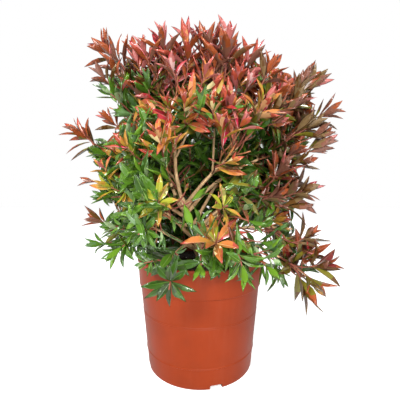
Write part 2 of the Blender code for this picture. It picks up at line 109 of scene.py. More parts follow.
# Limbs, as in the source
CLEARANCE = 0.0003
FORK = Vector((-0.032, -0.020, 0.2915))
TRUNK_FOOT_RADIUS = 0.0105
TRUNK_RADIUS = 0.0068
FORK_RADIUS = 0.0052
FLARE_HEIGHT = 0.016
TRUNK_POINTS = 9
FOOT_CROWDING = 1.35
TRUNK_RISE = 0.4
TRUNK_LEAN = Vector((-0.012, -0.008, 0.045))
LIMB_POINTS = 7
LEAVING_RISE = 0.7
LEAVING_PULL = 0.36
ARRIVING_SPREAD = 0.4
ARRIVING_LIFT = 0.25
ARRIVING_PULL = 0.34
ARCH_RISE = 0.7
ARCH_FALL = 0.85
ARCH_HEIGHT = POT_HEIGHT + 0.02
BOUGH_TAPER = 0.8
MAIN_BOUGH_RADIUS = 0.0034
SIDE_BOUGH_RADIUS = 0.0026
STEM_END_RADIUS = 0.0015
BOUGH_SHARE = 0.8
HEART = Vector((0.0, 0.0, 0.30))
GOLDEN_ANGLE = math.pi * (3 - math.sqrt(5))
SHOOTS = 6
SHOOT_REACH = 0.50
SHOOT_SPREAD = 0.20
SHOOT_SHARES = (0.85, 1.1)
CROWN_LIFT = 0.55
SKIRT_LIFT = 0.10
SKIRT_HEIGHT = 0.24

# The middle and radius of each mass, and where its bough leaves its parent
MASSES = (
    ("top_mid_left", -0.061, -0.009, 0.509, 0.082, "trunk", 1.0),
    ("top_left", -0.142, 0.019, 0.530, 0.070, "top_mid_left", 0.45),
    ("back_top", -0.009, 0.090, 0.480, 0.092, "top_mid_left", 0.60),
    ("front_top", -0.011, -0.090, 0.421, 0.084, "top_mid_left", 0.30),
    ("front_right", 0.056, -0.085, 0.370, 0.084, "trunk", 0.95),
    ("top_mid_right", 0.039, -0.019, 0.514, 0.082, "front_right", 0.55),
    ("top_right", 0.104, -0.037, 0.457, 0.080, "front_right", 0.75),
    ("front_left", -0.065, -0.088, 0.352, 0.080, "trunk", 0.90),
    ("left_upper", -0.123, -0.028, 0.445, 0.074, "front_left", 0.50),
    ("right", 0.178, 0.009, 0.393, 0.080, "trunk", 0.86),
    ("right_upper", 0.178, 0.033, 0.475, 0.078, "right", 0.65),
    ("left", -0.158, 0.000, 0.388, 0.081, "trunk", 0.82),
    ("back_right", 0.102, 0.102, 0.410, 0.092, "trunk", 0.90),
    ("back_left", -0.107, 0.097, 0.400, 0.092, "trunk", 0.60),
    ("back_mid", 0.000, 0.132, 0.355, 0.090, "back_right", 0.50),
    ("inner_right", 0.060, 0.005, 0.345, 0.080, "trunk", 0.70),
    ("inner_left", -0.060, 0.015, 0.340, 0.080, "trunk", 0.76),
    ("right_mid", 0.138, 0.000, 0.311, 0.080, "trunk", 0.58),
    ("left_mid", -0.128, -0.018, 0.311, 0.084, "trunk", 0.70),
    ("front_low_left", -0.061, -0.098, 0.275, 0.076, "trunk", 0.55),
    ("front_low_right", 0.032, -0.102, 0.269, 0.076, "trunk", 0.48),
    ("back_low_right", 0.086, 0.104, 0.275, 0.090, "trunk", 0.52),
    ("back_low_left", -0.077, 0.109, 0.266, 0.090, "trunk", 0.42),
    ("right_low", 0.165, 0.000, 0.235, 0.066, "trunk", 0.36),
    ("left_low", -0.132, 0.000, 0.245, 0.080, "trunk", 0.34),
    ("right_foot", 0.193, -0.020, 0.150, 0.064, "trunk", 0.22),
    ("foot_left", -0.050, -0.138, 0.192, 0.052, "trunk", 0.24),
    ("foot_right", 0.050, -0.130, 0.195, 0.050, "trunk", 0.20),
)

# The front view's eye point, and the gaps that show through the crown from there, on the upright plane
# through the pot's axis: middle across and up, half width, half height, and the depth where leaves stand again
VIEW_DISTANCE = 0.534
VIEW_HEIGHT = 0.313
GAPS = (
    (-0.020, 0.320, 0.028, 0.040, -0.020),
    (-0.022, 0.203, 0.024, 0.028, 0.030),
    (0.104, 0.229, 0.056, 0.015, 0.300),
    (-0.158, 0.271, 0.024, 0.010, 0.300),
    (0.160, 0.358, 0.012, 0.010, 0.300),
)

# The dense part of the crown from the front, on the same plane: across and up
OUTLINE = (
    (-0.106, 0.173), (-0.156, 0.187), (-0.179, 0.209), (-0.172, 0.244), (-0.149, 0.266), (-0.170, 0.287),
    (-0.182, 0.314), (-0.184, 0.344), (-0.202, 0.376), (-0.191, 0.397), (-0.163, 0.394), (-0.145, 0.415),
    (-0.134, 0.435), (-0.124, 0.449), (-0.145, 0.467), (-0.165, 0.486), (-0.156, 0.508), (-0.140, 0.526),
    (-0.125, 0.542), (-0.106, 0.536), (-0.085, 0.559), (-0.056, 0.572), (-0.035, 0.568), (-0.006, 0.559),
    (0.015, 0.572), (0.040, 0.586), (0.065, 0.568), (0.074, 0.542), (0.097, 0.542), (0.111, 0.524),
    (0.136, 0.522), (0.158, 0.504), (0.182, 0.497), (0.207, 0.504), (0.214, 0.490), (0.186, 0.470),
    (0.207, 0.442), (0.197, 0.424), (0.172, 0.419), (0.197, 0.394), (0.179, 0.369), (0.163, 0.346),
    (0.186, 0.323), (0.182, 0.296), (0.161, 0.276), (0.168, 0.259), (0.165, 0.234), (0.200, 0.219),
    (0.179, 0.198), (0.211, 0.177), (0.218, 0.152), (0.193, 0.134), (0.165, 0.137), (0.147, 0.152),
    (0.111, 0.159), (0.101, 0.177), (0.101, 0.136), (-0.106, 0.136),
)

# Shoots that show from the front, on the same plane: across and up of the tuft's foot, the way it points in
# degrees clockwise from up, its lean towards the eye, how wide it opens, its size, leaves and colouring
FRONT_SHOOTS = (
    # Top of the crown, from left to right
    (-0.133, 0.517, -33, 8, 42, 1.20, 8, "rust"),
    (-0.154, 0.485, -42, 10, 50, 0.90, 10, "bronze"),
    (-0.148, 0.535, -52, 10, 44, 1.05, 8, "maroon"),
    (-0.115, 0.515, 4, 12, 40, 1.10, 8, "rust"),
    (-0.140, 0.500, -28, 15, 44, 0.95, 8, "rust"),
    (-0.088, 0.522, -18, 15, 42, 0.95, 11, "coral"),
    (-0.061, 0.536, -8, 12, 36, 1.00, 11, "crimson"),
    (-0.022, 0.513, 0, 15, 48, 1.15, 16, "coral"),
    (0.015, 0.542, -12, 10, 34, 0.90, 9, "crimson"),
    (0.045, 0.515, 1, 12, 42, 1.15, 16, "crimson"),
    (0.081, 0.517, 27, 12, 34, 0.95, 10, "crimson"),
    (0.063, 0.476, 12, 25, 32, 0.95, 9, "coral"),
    (0.109, 0.490, 24, 12, 44, 1.00, 12, "rust"),
    (0.163, 0.463, 27, 10, 26, 1.05, 12, "mauve"),
    (0.177, 0.476, 52, 12, 30, 1.00, 11, "mauve"),
    (-0.104, 0.508, -14, 15, 42, 0.90, 8, "coral"),
    (-0.042, 0.497, -18, 18, 42, 0.90, 8, "crimson"),
    (0.003, 0.490, 20, 20, 42, 0.95, 8, "coral"),
    (0.024, 0.504, 6, 15, 40, 0.90, 8, "rust"),
    (0.077, 0.472, 24, 20, 40, 0.95, 8, "crimson"),
    (-0.074, 0.493, -4, 22, 40, 0.80, 7, "rust"),
    # Right edge, from the top down
    (0.198, 0.428, 62, 15, 38, 0.95, 12, "rust"),
    (0.172, 0.404, 60, 10, 45, 1.00, 9, "dusk"),
    (0.195, 0.396, 68, 12, 26, 0.85, 9, "bronze"),
    (0.147, 0.358, 48, 30, 45, 1.00, 10, "bronze"),
    (0.190, 0.372, 88, 0, 18, 0.75, 5, "bronze"),
    (0.127, 0.330, 50, 25, 52, 1.10, 7, "bronze"),
    (0.150, 0.292, 68, 20, 42, 1.15, 13, "mauve"),
    (0.120, 0.250, 78, 35, 42, 0.85, 10, "orange"),
    (0.175, 0.212, 50, 25, 34, 1.05, 8, "bronze"),
    (0.172, 0.209, 88, 15, 26, 0.85, 5, "dusk"),
    (0.163, 0.162, -10, 38, 42, 1.20, 6, "bronze"),
    (0.175, 0.161, 172, 42, 30, 1.35, 4, "dusk"),
    (0.181, 0.146, 164, 40, 16, 1.60, 3, "amber_olive"),
    (0.190, 0.153, 128, 38, 34, 1.40, 5, "amber_olive"),
    (0.193, 0.166, 68, 36, 40, 1.35, 8, "bronze"),
    (0.168, 0.181, 30, 40, 46, 1.30, 8, "rust"),
    (0.153, 0.172, -20, 40, 44, 1.20, 6, "bronze"),
    (0.184, 0.177, 20, 38, 36, 1.20, 6, "rust"),
    (0.111, 0.241, 118, 15, 40, 0.95, 9, "dark_green"),
    (0.085, 0.250, 112, 10, 26, 0.85, 4, "dark_green"),
    (0.106, 0.234, 40, 8, 34, 0.80, 5, "dark_green"),
    (0.129, 0.232, 74, 10, 30, 0.80, 5, "dark_green"),
    (0.101, 0.212, 92, 15, 35, 1.00, 8, "dark_green"),
    (0.111, 0.194, 76, 10, 34, 1.00, 8, "green"),
    (0.122, 0.187, 128, 15, 32, 0.95, 6, "green"),
    (0.113, 0.177, 176, 10, 10, 0.90, 2, "dark_green"),
    (0.143, 0.166, 168, 10, 20, 0.85, 3, "dark_green"),
    (0.111, 0.426, 48, 25, 36, 1.10, 10, "mauve"),
    (0.147, 0.437, 42, 15, 34, 1.05, 9, "mauve"),
    (0.129, 0.458, 30, 15, 36, 0.95, 8, "rust"),
    (0.161, 0.401, 50, 15, 36, 1.05, 8, "dusk"),
    (0.190, 0.376, 66, 10, 30, 1.00, 8, "mauve"),
    (0.136, 0.390, 62, 20, 36, 1.00, 8, "bronze"),
    (0.161, 0.348, 72, 15, 32, 0.95, 7, "bronze"),
    (0.129, 0.323, 28, 25, 36, 1.15, 8, "rust"),
    (0.111, 0.287, 66, 25, 36, 1.00, 8, "bronze"),
    (0.143, 0.276, 84, 15, 34, 1.05, 8, "bronze"),
    # Left edge, from the top down
    (-0.145, 0.463, -50, 20, 45, 0.80, 9, "dark_green"),
    (-0.113, 0.437, -82, 10, 25, 0.80, 6, "sage"),
    (-0.143, 0.413, -42, 10, 36, 0.85, 9, "rust"),
    (-0.184, 0.385, -52, 28, 50, 0.95, 14, "rust"),
    (-0.156, 0.365, -75, 15, 32, 0.80, 8, "dark_green"),
    (-0.165, 0.337, -30, 30, 35, 0.60, 6, "orange"),
    (-0.149, 0.305, -62, 20, 35, 0.85, 7, "lime"),
    (-0.186, 0.319, -75, 0, 12, 0.70, 3, "rust"),
    (-0.156, 0.292, -88, 10, 30, 0.80, 8, "dark_green"),
    (-0.166, 0.244, -62, 5, 34, 0.85, 8, "bronze"),
    (-0.145, 0.235, -75, 10, 35, 0.70, 7, "sage"),
    (-0.166, 0.209, -88, 5, 38, 0.70, 8, "dark_green"),
    (-0.131, 0.210, -130, 10, 38, 0.95, 9, "green"),
    (-0.085, 0.177, -100, 25, 50, 0.65, 9, "green"),
    # Middle of the front, from the top down
    (-0.051, 0.437, -20, 32, 46, 0.75, 9, "sunset"),
    (-0.028, 0.438, 5, 25, 52, 0.90, 11, "sunset"),
    (0.024, 0.431, -8, 30, 45, 0.90, 11, "orange"),
    (0.053, 0.437, 2, 25, 32, 0.85, 8, "coral"),
    (0.038, 0.394, -2, 25, 38, 1.05, 10, "orange"),
    (0.063, 0.404, 28, 28, 46, 0.95, 10, "coral"),
    (0.095, 0.431, 34, 25, 46, 1.10, 13, "orange"),
    (0.122, 0.419, 75, 20, 36, 0.80, 6, "rust"),
    (-0.088, 0.465, 0, 40, 45, 0.95, 9, "dark_green"),
    (-0.067, 0.376, -12, 22, 42, 1.00, 11, "orange"),
    (-0.117, 0.367, -40, 35, 62, 0.90, 11, "orange"),
    (-0.047, 0.376, 22, 30, 42, 0.75, 7, "orange"),
    (0.040, 0.351, 70, 30, 34, 0.85, 5, "orange"),
    (-0.049, 0.319, -40, 20, 22, 1.10, 3, "fresh"),
    (-0.131, 0.305, 190, 30, 14, 0.70, 2, "lime"),
    (-0.074, 0.282, -20, 70, 80, 0.95, 8, "lime"),
    (-0.029, 0.282, 172, 12, 16, 1.05, 3, "fresh"),
    (0.111, 0.292, -85, 30, 28, 0.80, 4, "sage"),
    (0.040, 0.273, 60, 48, 76, 0.85, 7, "lime"),
    (-0.097, 0.234, -120, 65, 78, 0.88, 11, "sage"),
    (0.028, 0.207, 10, 38, 75, 1.25, 10, "orange"),
    (0.024, 0.200, 180, 45, 46, 1.15, 6, "fresh"),
    (-0.020, 0.282, 55, 12, 14, 0.95, 3, "fresh"),
    (-0.001, 0.317, 84, 10, 10, 0.95, 2, "green"),
    (0.022, 0.357, 112, 14, 12, 1.20, 2, "turning"),
    (-0.014, 0.330, 58, 18, 26, 0.85, 3, "turning"),
    (-0.028, 0.298, 22, 10, 12, 0.60, 2, "turning"),
    (0.012, 0.216, -14, 30, 34, 0.95, 6, "sage"),
    (-0.053, 0.262, 150, 35, 28, 0.72, 5, "green"),
    (-0.070, 0.237, 165, 30, 24, 0.85, 5, "sage"),
    (-0.045, 0.191, 110, 40, 76, 0.50, 6, "sage"),
    (-0.010, 0.216, 4, 20, 24, 0.75, 3, "dark_green"),
    (-0.001, 0.241, 8, 25, 40, 0.80, 5, "green"),
    # Over the rim
    (0.001, 0.182, 178, 34, 40, 0.92, 6, "fresh"),
    (0.072, 0.182, 168, 26, 40, 1.05, 9, "fresh"),
    (0.111, 0.180, 150, 20, 65, 1.15, 7, "green"),
    (0.134, 0.177, 160, 15, 32, 0.90, 6, "dark_green"),
    (-0.053, 0.141, 180, 78, 86, 1.05, 11, "shade"),
)

# Shoots deeper in the crown that close it behind the front ones: across and up on the same plane, depth,
# and colouring
DEEP_SHOOTS = (
    (0.006, 0.287, 0.075, "shade"),
    (0.020, 0.282, 0.060, "shade"),
    (0.015, 0.294, 0.085, "shade"),
    (-0.008, 0.271, 0.070, "shade"),
    (0.083, 0.358, 0.000, "shade"),
    (0.104, 0.376, 0.000, "shade"),
    (0.072, 0.380, 0.000, "shade"),
    (0.111, 0.348, 0.010, "shade"),
    (-0.017, 0.292, 0.045, "dark_green"),
    (-0.001, 0.283, 0.060, "shade"),
    (0.012, 0.299, 0.050, "dark_green"),
    (-0.006, 0.308, 0.090, "shade"),
    (-0.028, 0.209, 0.050, "shade"),
    (-0.006, 0.209, 0.055, "shade"),
    (-0.049, 0.205, 0.050, "shade"),
    (-0.017, 0.223, 0.065, "shade"),
    (-0.060, 0.232, 0.060, "shade"),
    (-0.035, 0.237, 0.080, "shade"),
    (-0.010, 0.232, 0.070, "shade"),
    (-0.047, 0.216, 0.095, "shade"),
    (-0.022, 0.216, 0.095, "shade"),
    (0.004, 0.216, 0.095, "shade"),
    (-0.077, 0.214, 0.085, "shade"),
    (0.024, 0.235, 0.070, "shade"),
    (-0.038, 0.337, 0.070, "green"),
    (-0.017, 0.340, 0.080, "dark_green"),
    (0.001, 0.319, 0.060, "green"),
    (-0.024, 0.308, 0.070, "dark_green"),
    (0.013, 0.344, 0.060, "dark_green"),
    (-0.008, 0.282, 0.080, "shade"),
    (-0.049, 0.305, 0.070, "shade"),
    (-0.031, 0.372, 0.060, "dark_green"),
    (-0.017, 0.352, 0.020, "green"),
    (0.002, 0.338, 0.030, "green"),
    (-0.004, 0.371, 0.025, "dark_green"),
    (0.032, 0.372, 0.025, "green"),
    (-0.088, 0.497, 0.000, "rust"),
    (-0.042, 0.479, -0.010, "coral"),
    (0.012, 0.493, 0.000, "rust"),
    (0.024, 0.533, 0.020, "maroon"),
    (0.069, 0.493, -0.010, "rust"),
    (0.001, 0.533, 0.030, "maroon"),
    (-0.070, 0.447, -0.020, "turning"),
    (0.104, 0.461, 0.000, "rust"),
    (0.136, 0.458, -0.010, "rust"),
    (0.161, 0.447, 0.000, "bronze"),
)
DEEP_LEAN = 40
DEEP_SPREAD = 70
DEEP_LEAVES = 12
FRONT_SHELL = 0.62
FRONT_REACH = 1.25
MASS_REACH = 1.05
BOX_ROOM = 0.012
TUFT_VIEW = 0.022
STAR_VIEW = 0.033
TUFT_STRETCH = 0.052
STAR_STRETCH = 0.007
STAR_WIDENING = 1.2
TULIP_CLOSING = 0.80
TULIP_OPENING = 1.35
TULIP_SHARE = 0.85
STAR_CLOSING = 0.25
STAR_SPREAD = 74
STEM_LENGTH = 0.05
SHADE_REACH = 0.115
FEWEST_LEAVES = 3

# Masses that are a few loose shoots
SPARSE = {"right_foot": 1, "foot_left": 1, "foot_right": 2}

# Leaf outline: share of the length, and half the width there as a share of the greatest
STATIONS = (0.07, 0.24, 0.46, 0.66, 0.85)
HALF_WIDTHS = (0.15, 0.60, 1.00, 0.88, 0.44)
RIB_SHARE = 0.09
POINTS_PER_STATION = 6
LEAF_POINTS = 2 + POINTS_PER_STATION * len(STATIONS)

# Plain leaf colours
TINTS = {
    "maroon": (0.155, 0.016, 0.013),
    "magenta": (0.560, 0.028, 0.075),
    "crimson": (0.355, 0.021, 0.031),
    "scarlet": (0.375, 0.044, 0.020),
    "coral": (0.395, 0.064, 0.036),
    "rose": (0.450, 0.130, 0.115),
    # Pale pink that paints the highlight in the hearts of the red tufts, on midribs and undersides of their inner
    # leaves
    "highlight_pink": (0.620, 0.380, 0.350),
    "orange": (0.470, 0.155, 0.034),
    "peach": (0.560, 0.290, 0.130),
    "copper": (0.310, 0.070, 0.020),
    "rust": (0.235, 0.050, 0.014),
    "bronze": (0.105, 0.046, 0.011),
    "plum": (0.075, 0.030, 0.012),
    "mauve": (0.195, 0.078, 0.050),
    "taupe": (0.180, 0.112, 0.048),
    "ochre": (0.370, 0.175, 0.026),
    "amber": (0.400, 0.215, 0.028),
    "cream": (0.700, 0.580, 0.280),
    "olive": (0.160, 0.140, 0.014),
    "lime": (0.290, 0.300, 0.020),
    "fresh_green": (0.115, 0.235, 0.016),
    "leaf_green": (0.064, 0.150, 0.011),
    "deep_green": (0.030, 0.078, 0.006),
    "shade_green": (0.020, 0.042, 0.004),
    # Pale green of leaf undersides, made lighter so that it also paints the silvery sheen of glossy leaves
    "pale_green_and_sheen": (0.280, 0.385, 0.185),
    "blue_green": (0.090, 0.180, 0.055),
    "rib_pink": (0.450, 0.135, 0.100),
    "rib_green": (0.170, 0.265, 0.055),
}
TINT_NAMES = tuple(TINTS)

# Ways to colour a leaf, from a tuft's outer leaves to its inner ones: foot, middle and tip of the upper side,
# foot and tip of the underside, and midrib
COLOURINGS = {
    "crimson": (
        ("olive", "bronze", "rust", "bronze", "rust", "copper"),
        ("bronze", "rust", "copper", "mauve", "mauve", "rib_pink"),
        ("rust", "copper", "scarlet", "mauve", "copper", "rib_pink"),
        ("maroon", "crimson", "crimson", "mauve", "rose", "rib_pink"),
        ("rust", "crimson", "scarlet", "rose", "coral", "rib_pink"),
        ("magenta", "crimson", "coral", "rose", "rose", "highlight_pink"),
        ("magenta", "rose", "crimson", "highlight_pink", "rose", "highlight_pink"),
    ),
    "coral": (
        ("olive", "copper", "copper", "rust", "copper", "rib_pink"),
        ("copper", "copper", "scarlet", "mauve", "copper", "rib_pink"),
        ("amber", "orange", "scarlet", "copper", "coral", "rib_pink"),
        ("copper", "scarlet", "crimson", "rose", "coral", "rib_pink"),
        ("coral", "coral", "scarlet", "rose", "rose", "highlight_pink"),
        ("magenta", "rose", "crimson", "rose", "coral", "highlight_pink"),
        ("magenta", "rose", "coral", "highlight_pink", "rose", "highlight_pink"),
    ),
    "rust": (
        ("olive", "bronze", "rust", "taupe", "bronze", "mauve"),
        ("olive", "rust", "rust", "copper", "copper", "rib_pink"),
        ("bronze", "rust", "copper", "mauve", "copper", "rib_pink"),
        ("rust", "copper", "scarlet", "mauve", "mauve", "rib_pink"),
        ("maroon", "crimson", "rust", "mauve", "rose", "rib_pink"),
    ),
    "bronze": (
        ("olive", "bronze", "bronze", "bronze", "taupe", "mauve"),
        ("olive", "olive", "bronze", "taupe", "bronze", "taupe"),
        ("bronze", "bronze", "rust", "taupe", "mauve", "mauve"),
        ("bronze", "rust", "rust", "mauve", "mauve", "rib_pink"),
        ("plum", "maroon", "rust", "bronze", "mauve", "mauve"),
        ("rust", "copper", "rust", "mauve", "copper", "rib_pink"),
    ),
    "mauve": (
        ("olive", "bronze", "bronze", "taupe", "bronze", "mauve"),
        ("olive", "bronze", "rust", "taupe", "mauve", "mauve"),
        ("bronze", "plum", "rust", "bronze", "taupe", "mauve"),
        ("bronze", "mauve", "mauve", "taupe", "mauve", "rib_pink"),
        ("rust", "copper", "copper", "mauve", "mauve", "highlight_pink"),
        ("mauve", "mauve", "crimson", "mauve", "rose", "highlight_pink"),
    ),
    "maroon": (
        ("olive", "bronze", "rust", "bronze", "rust", "copper"),
        ("plum", "maroon", "rust", "rust", "rust", "copper"),
        ("maroon", "maroon", "crimson", "rust", "copper", "rib_pink"),
    ),
    "amber_olive": (
        ("olive", "olive", "copper", "olive", "copper", "amber"),
        ("olive", "ochre", "copper", "olive", "copper", "amber"),
        ("bronze", "rust", "copper", "bronze", "taupe", "mauve"),
    ),
    "dusk": (
        ("olive", "olive", "bronze", "olive", "bronze", "taupe"),
        ("bronze", "bronze", "plum", "taupe", "taupe", "mauve"),
        ("plum", "plum", "bronze", "bronze", "mauve", "mauve"),
    ),
    "orange": (
        ("fresh_green", "olive", "ochre", "olive", "ochre", "amber"),
        ("lime", "olive", "copper", "olive", "copper", "amber"),
        ("olive", "ochre", "ochre", "amber", "ochre", "amber"),
        ("amber", "orange", "copper", "peach", "coral", "rib_pink"),
        ("ochre", "orange", "coral", "cream", "coral", "peach"),
        ("amber", "orange", "scarlet", "peach", "coral", "highlight_pink"),
        ("lime", "amber", "orange", "amber", "orange", "peach"),
        ("magenta", "coral", "scarlet", "rose", "rose", "highlight_pink"),
    ),
    "sunset": (
        ("fresh_green", "lime", "amber", "pale_green_and_sheen", "lime", "lime"),
        ("lime", "olive", "copper", "olive", "copper", "lime"),
        ("lime", "amber", "orange", "cream", "amber", "lime"),
        ("olive", "copper", "scarlet", "amber", "copper", "rib_pink"),
        ("olive", "copper", "rust", "olive", "copper", "amber"),
        ("copper", "crimson", "scarlet", "coral", "rose", "rib_pink"),
    ),
    "lime": (
        ("fresh_green", "lime", "lime", "lime", "amber", "lime"),
        ("lime", "lime", "amber", "lime", "amber", "lime"),
        ("lime", "amber", "orange", "lime", "amber", "lime"),
        ("fresh_green", "lime", "lime", "cream", "lime", "lime"),
        ("lime", "olive", "amber", "cream", "amber", "rib_pink"),
    ),
    "turning": (
        ("leaf_green", "olive", "olive", "fresh_green", "olive", "rib_green"),
        ("olive", "olive", "bronze", "olive", "taupe", "rib_green"),
        ("olive", "bronze", "rust", "olive", "bronze", "rib_pink"),
    ),
    "green": (
        ("deep_green", "leaf_green", "deep_green", "leaf_green", "blue_green", "rib_green"),
        ("leaf_green", "deep_green", "deep_green", "pale_green_and_sheen", "blue_green", "rib_green"),
        ("leaf_green", "leaf_green", "leaf_green", "blue_green", "fresh_green", "rib_green"),
        ("fresh_green", "leaf_green", "leaf_green", "fresh_green", "fresh_green", "rib_green"),
        ("leaf_green", "leaf_green", "fresh_green", "pale_green_and_sheen", "blue_green", "rib_green"),
    ),
    "sage": (
        ("leaf_green", "blue_green", "blue_green", "pale_green_and_sheen", "blue_green", "rib_green"),
        ("blue_green", "blue_green", "leaf_green", "pale_green_and_sheen", "pale_green_and_sheen", "pale_green_and_sheen"),
        ("leaf_green", "leaf_green", "blue_green", "blue_green", "blue_green", "rib_green"),
        ("deep_green", "leaf_green", "blue_green", "blue_green", "leaf_green", "rib_green"),
    ),
    "fresh": (
        ("leaf_green", "leaf_green", "fresh_green", "fresh_green", "fresh_green", "rib_green"),
        ("leaf_green", "fresh_green", "fresh_green", "pale_green_and_sheen", "fresh_green", "rib_green"),
        ("fresh_green", "leaf_green", "leaf_green", "fresh_green", "fresh_green", "rib_green"),
    ),
    "dark_green": (
        ("deep_green", "deep_green", "leaf_green", "leaf_green", "leaf_green", "leaf_green"),
        ("deep_green", "leaf_green", "leaf_green", "leaf_green", "blue_green", "rib_green"),
        ("leaf_green", "leaf_green", "deep_green", "pale_green_and_sheen", "blue_green", "rib_green"),
    ),
    "shade": (
        ("deep_green", "deep_green", "deep_green", "leaf_green", "leaf_green", "leaf_green"),
        ("shade_green", "deep_green", "deep_green", "deep_green", "deep_green", "leaf_green"),
        ("shade_green", "shade_green", "deep_green", "deep_green", "deep_green", "deep_green"),
    ),
}

TWIG_TINTS = {
    "twig_tan": (0.46, 0.250, 0.110),
    "twig_orange": (0.50, 0.190, 0.080),
    "twig_pink": (0.24, 0.062, 0.036),
}


class PotSettings(bpy.types.PropertyGroup):
    """Sizes and colour of the plastic pot."""

    segments: IntProperty(name="Segments", description="Steps round the pot", default=128, min=32)
    colour: FloatVectorProperty(name="Colour", description="Colour of the plastic", subtype="COLOR",
                                default=(0.220, 0.026, 0.003))
    dust: FloatVectorProperty(name="Dust", description="Colour of dusty streaks on the plastic", subtype="COLOR",
                              default=(0.25, 0.050, 0.022))
    shine: FloatProperty(name="Shine", description="Specular level of the plastic", default=0.18, min=0, max=1)
    roughness: FloatProperty(name="Roughness", description="Roughness of the plastic", default=0.38, min=0, max=1)


class SoilSettings(bpy.types.PropertyGroup):
    """Sizes and amounts of the potting soil."""

    chips: IntProperty(name="Bark chips", description="Number of bark chips", default=520, min=0)
    grains: IntProperty(name="White grains", description="Number of white grains", default=36, min=0)
    chip_size: FloatProperty(name="Chip size", description="Length of a bark chip", default=0.0065, unit="LENGTH")
    colour: FloatVectorProperty(name="Colour", description="Colour of the peat", subtype="COLOR",
                                default=(0.030, 0.018, 0.011))


class BarkSettings(bpy.types.PropertyGroup):
    """Relief and colours of trunk and boughs."""

    relief: FloatProperty(name="Relief", description="Depth of the bark's ridges as a share of the radius",
                          default=0.07, min=0, max=0.3)
    node_spacing: FloatProperty(name="Node spacing", description="Distance between old leaf nodes",
                                default=0.013, unit="LENGTH")
    colour: FloatVectorProperty(name="Colour", description="Colour of the bark", subtype="COLOR",
                                default=(0.98, 0.66, 0.36))


class LeafSettings(bpy.types.PropertyGroup):
    """Sizes and numbers of twigs and leaves."""

    length: FloatProperty(name="Leaf length", description="Length of a full leaf", default=0.052, unit="LENGTH")
    width: FloatProperty(name="Leaf width", description="Width of a full leaf", default=0.0126, unit="LENGTH")
    side_shoots: IntProperty(name="Side shoots", description="Side shoots on each main shoot", default=3, min=0)
    tuft: IntProperty(name="Tuft leaves", description="Leaves in the tuft at a shoot's tip", default=10, min=1)
    roughness: FloatProperty(name="Roughness", description="Roughness of the leaves", default=0.42, min=0, max=1)
    gloss: FloatProperty(name="Gloss", description="Weight of the leaves' waxy coat", default=1.0, min=0, max=1)


class StageSettings(bpy.types.PropertyGroup):
    """Camera and light."""

    lens: FloatProperty(name="Lens", description="Focal length of the camera", default=27.0, unit="CAMERA")
    distance: FloatProperty(name="Distance", description="Camera distance from the pot's axis", default=0.534,
                            unit="LENGTH")
    height: FloatProperty(name="Height", description="Camera height over the floor", default=0.313,
                          unit="LENGTH")
    tilt: FloatProperty(name="Tilt", description="How far the camera looks down", default=math.radians(2.8),
                        subtype="ANGLE")
    ambient: FloatProperty(name="Ambient", description="Strength of the light from all round", default=0.40,
                           min=0)
    floor_colour: FloatVectorProperty(name="Floor colour", description="Colour of the floor", subtype="COLOR",
                                      default=(0.90, 0.90, 0.90))
    floor_glow: FloatProperty(name="Floor glow", description="Own light of the white floor", default=0.60, min=0)


# Helpers for objects and materials


def new_object(name, mesh):
    """Puts a mesh into a new object of the scene that rides on the part's only body."""
    item = bpy.data.objects.new(name, mesh)
    bpy.context.scene.collection.objects.link(item)
    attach(item, BODY)
    return item


def mesh_of(bm, name):
    """Turns a bmesh into a mesh."""
    mesh = bpy.data.meshes.new(name)
    bm.to_mesh(mesh)
    bm.free()
    return mesh


def principled(name, colour, roughness):
    """A material with a Principled surface; returns it with its tree and surface node."""
    mat = bpy.data.materials.new(name)
    mat.use_nodes = True
    surface = mat.node_tree.nodes["Principled BSDF"]
    surface.inputs["Base Color"].default_value = (*colour, 1.0)
    surface.inputs["Roughness"].default_value = roughness
    return mat, mat.node_tree, surface


def node(tree, kind, **values):
    """Adds a node and sets its properties and inputs by name."""
    item = tree.nodes.new(kind)
    for key, value in values.items():
        if hasattr(item, key):
            setattr(item, key, value)
        else:
            item.inputs[key.replace("_", " ").title()].default_value = value
    return item


def noise_at(tree, source, scale, detail=4.0, roughness=0.55):
    """A noise texture that reads the given coordinates."""
    item = node(tree, "ShaderNodeTexNoise", scale=scale, detail=detail, roughness=roughness)
    tree.links.new(source, item.inputs["Vector"])
    return item


def ramp(tree, source, stops):
    """A colour ramp over a value, from (place, colour) stops."""
    item = tree.nodes.new("ShaderNodeValToRGB")
    elements = item.color_ramp.elements
    while len(elements) < len(stops):
        elements.new(0.5)
    for element, (place, colour) in zip(elements, stops):
        element.position = place
        element.color = (*colour, 1.0)
    tree.links.new(source, item.inputs["Fac"])
    return item


def value_range(tree, source, low, high):
    """Maps a value from 0..1 to low..high."""
    item = node(tree, "ShaderNodeMapRange")
    item.inputs["To Min"].default_value = low
    item.inputs["To Max"].default_value = high
    tree.links.new(source, item.inputs["Value"])
    return item.outputs["Result"]


def bump(tree, surface, source, strength, distance):
    """Adds a bump from a height value."""
    item = tree.nodes.new("ShaderNodeBump")
    item.inputs["Strength"].default_value = strength
    item.inputs["Distance"].default_value = distance
    tree.links.new(source, item.inputs["Height"])
    tree.links.new(item.outputs["Normal"], surface.inputs["Normal"])


def shade(colour, factor):
    """A colour made lighter or darker."""
    return tuple(min(1.0, channel * factor) for channel in colour)


# Pot


def wall_radius(height):
    """The wall's outer radius at a height, under the band."""
    top = BAND_FOOT_RADIUS - BAND_STEP
    return FOOT_RADIUS + (top - FOOT_RADIUS) * height / (POT_HEIGHT - BAND_HEIGHT)


def arc(middle, radius, first, last, steps):
    """Points of (radius, height) on an arc between two angles in degrees."""
    points = []
    for step in range(steps + 1):
        angle = math.radians(first + (last - first) * step / steps)
        points.append((middle[0] + radius * math.cos(angle), middle[1] + radius * math.sin(angle)))
    return points


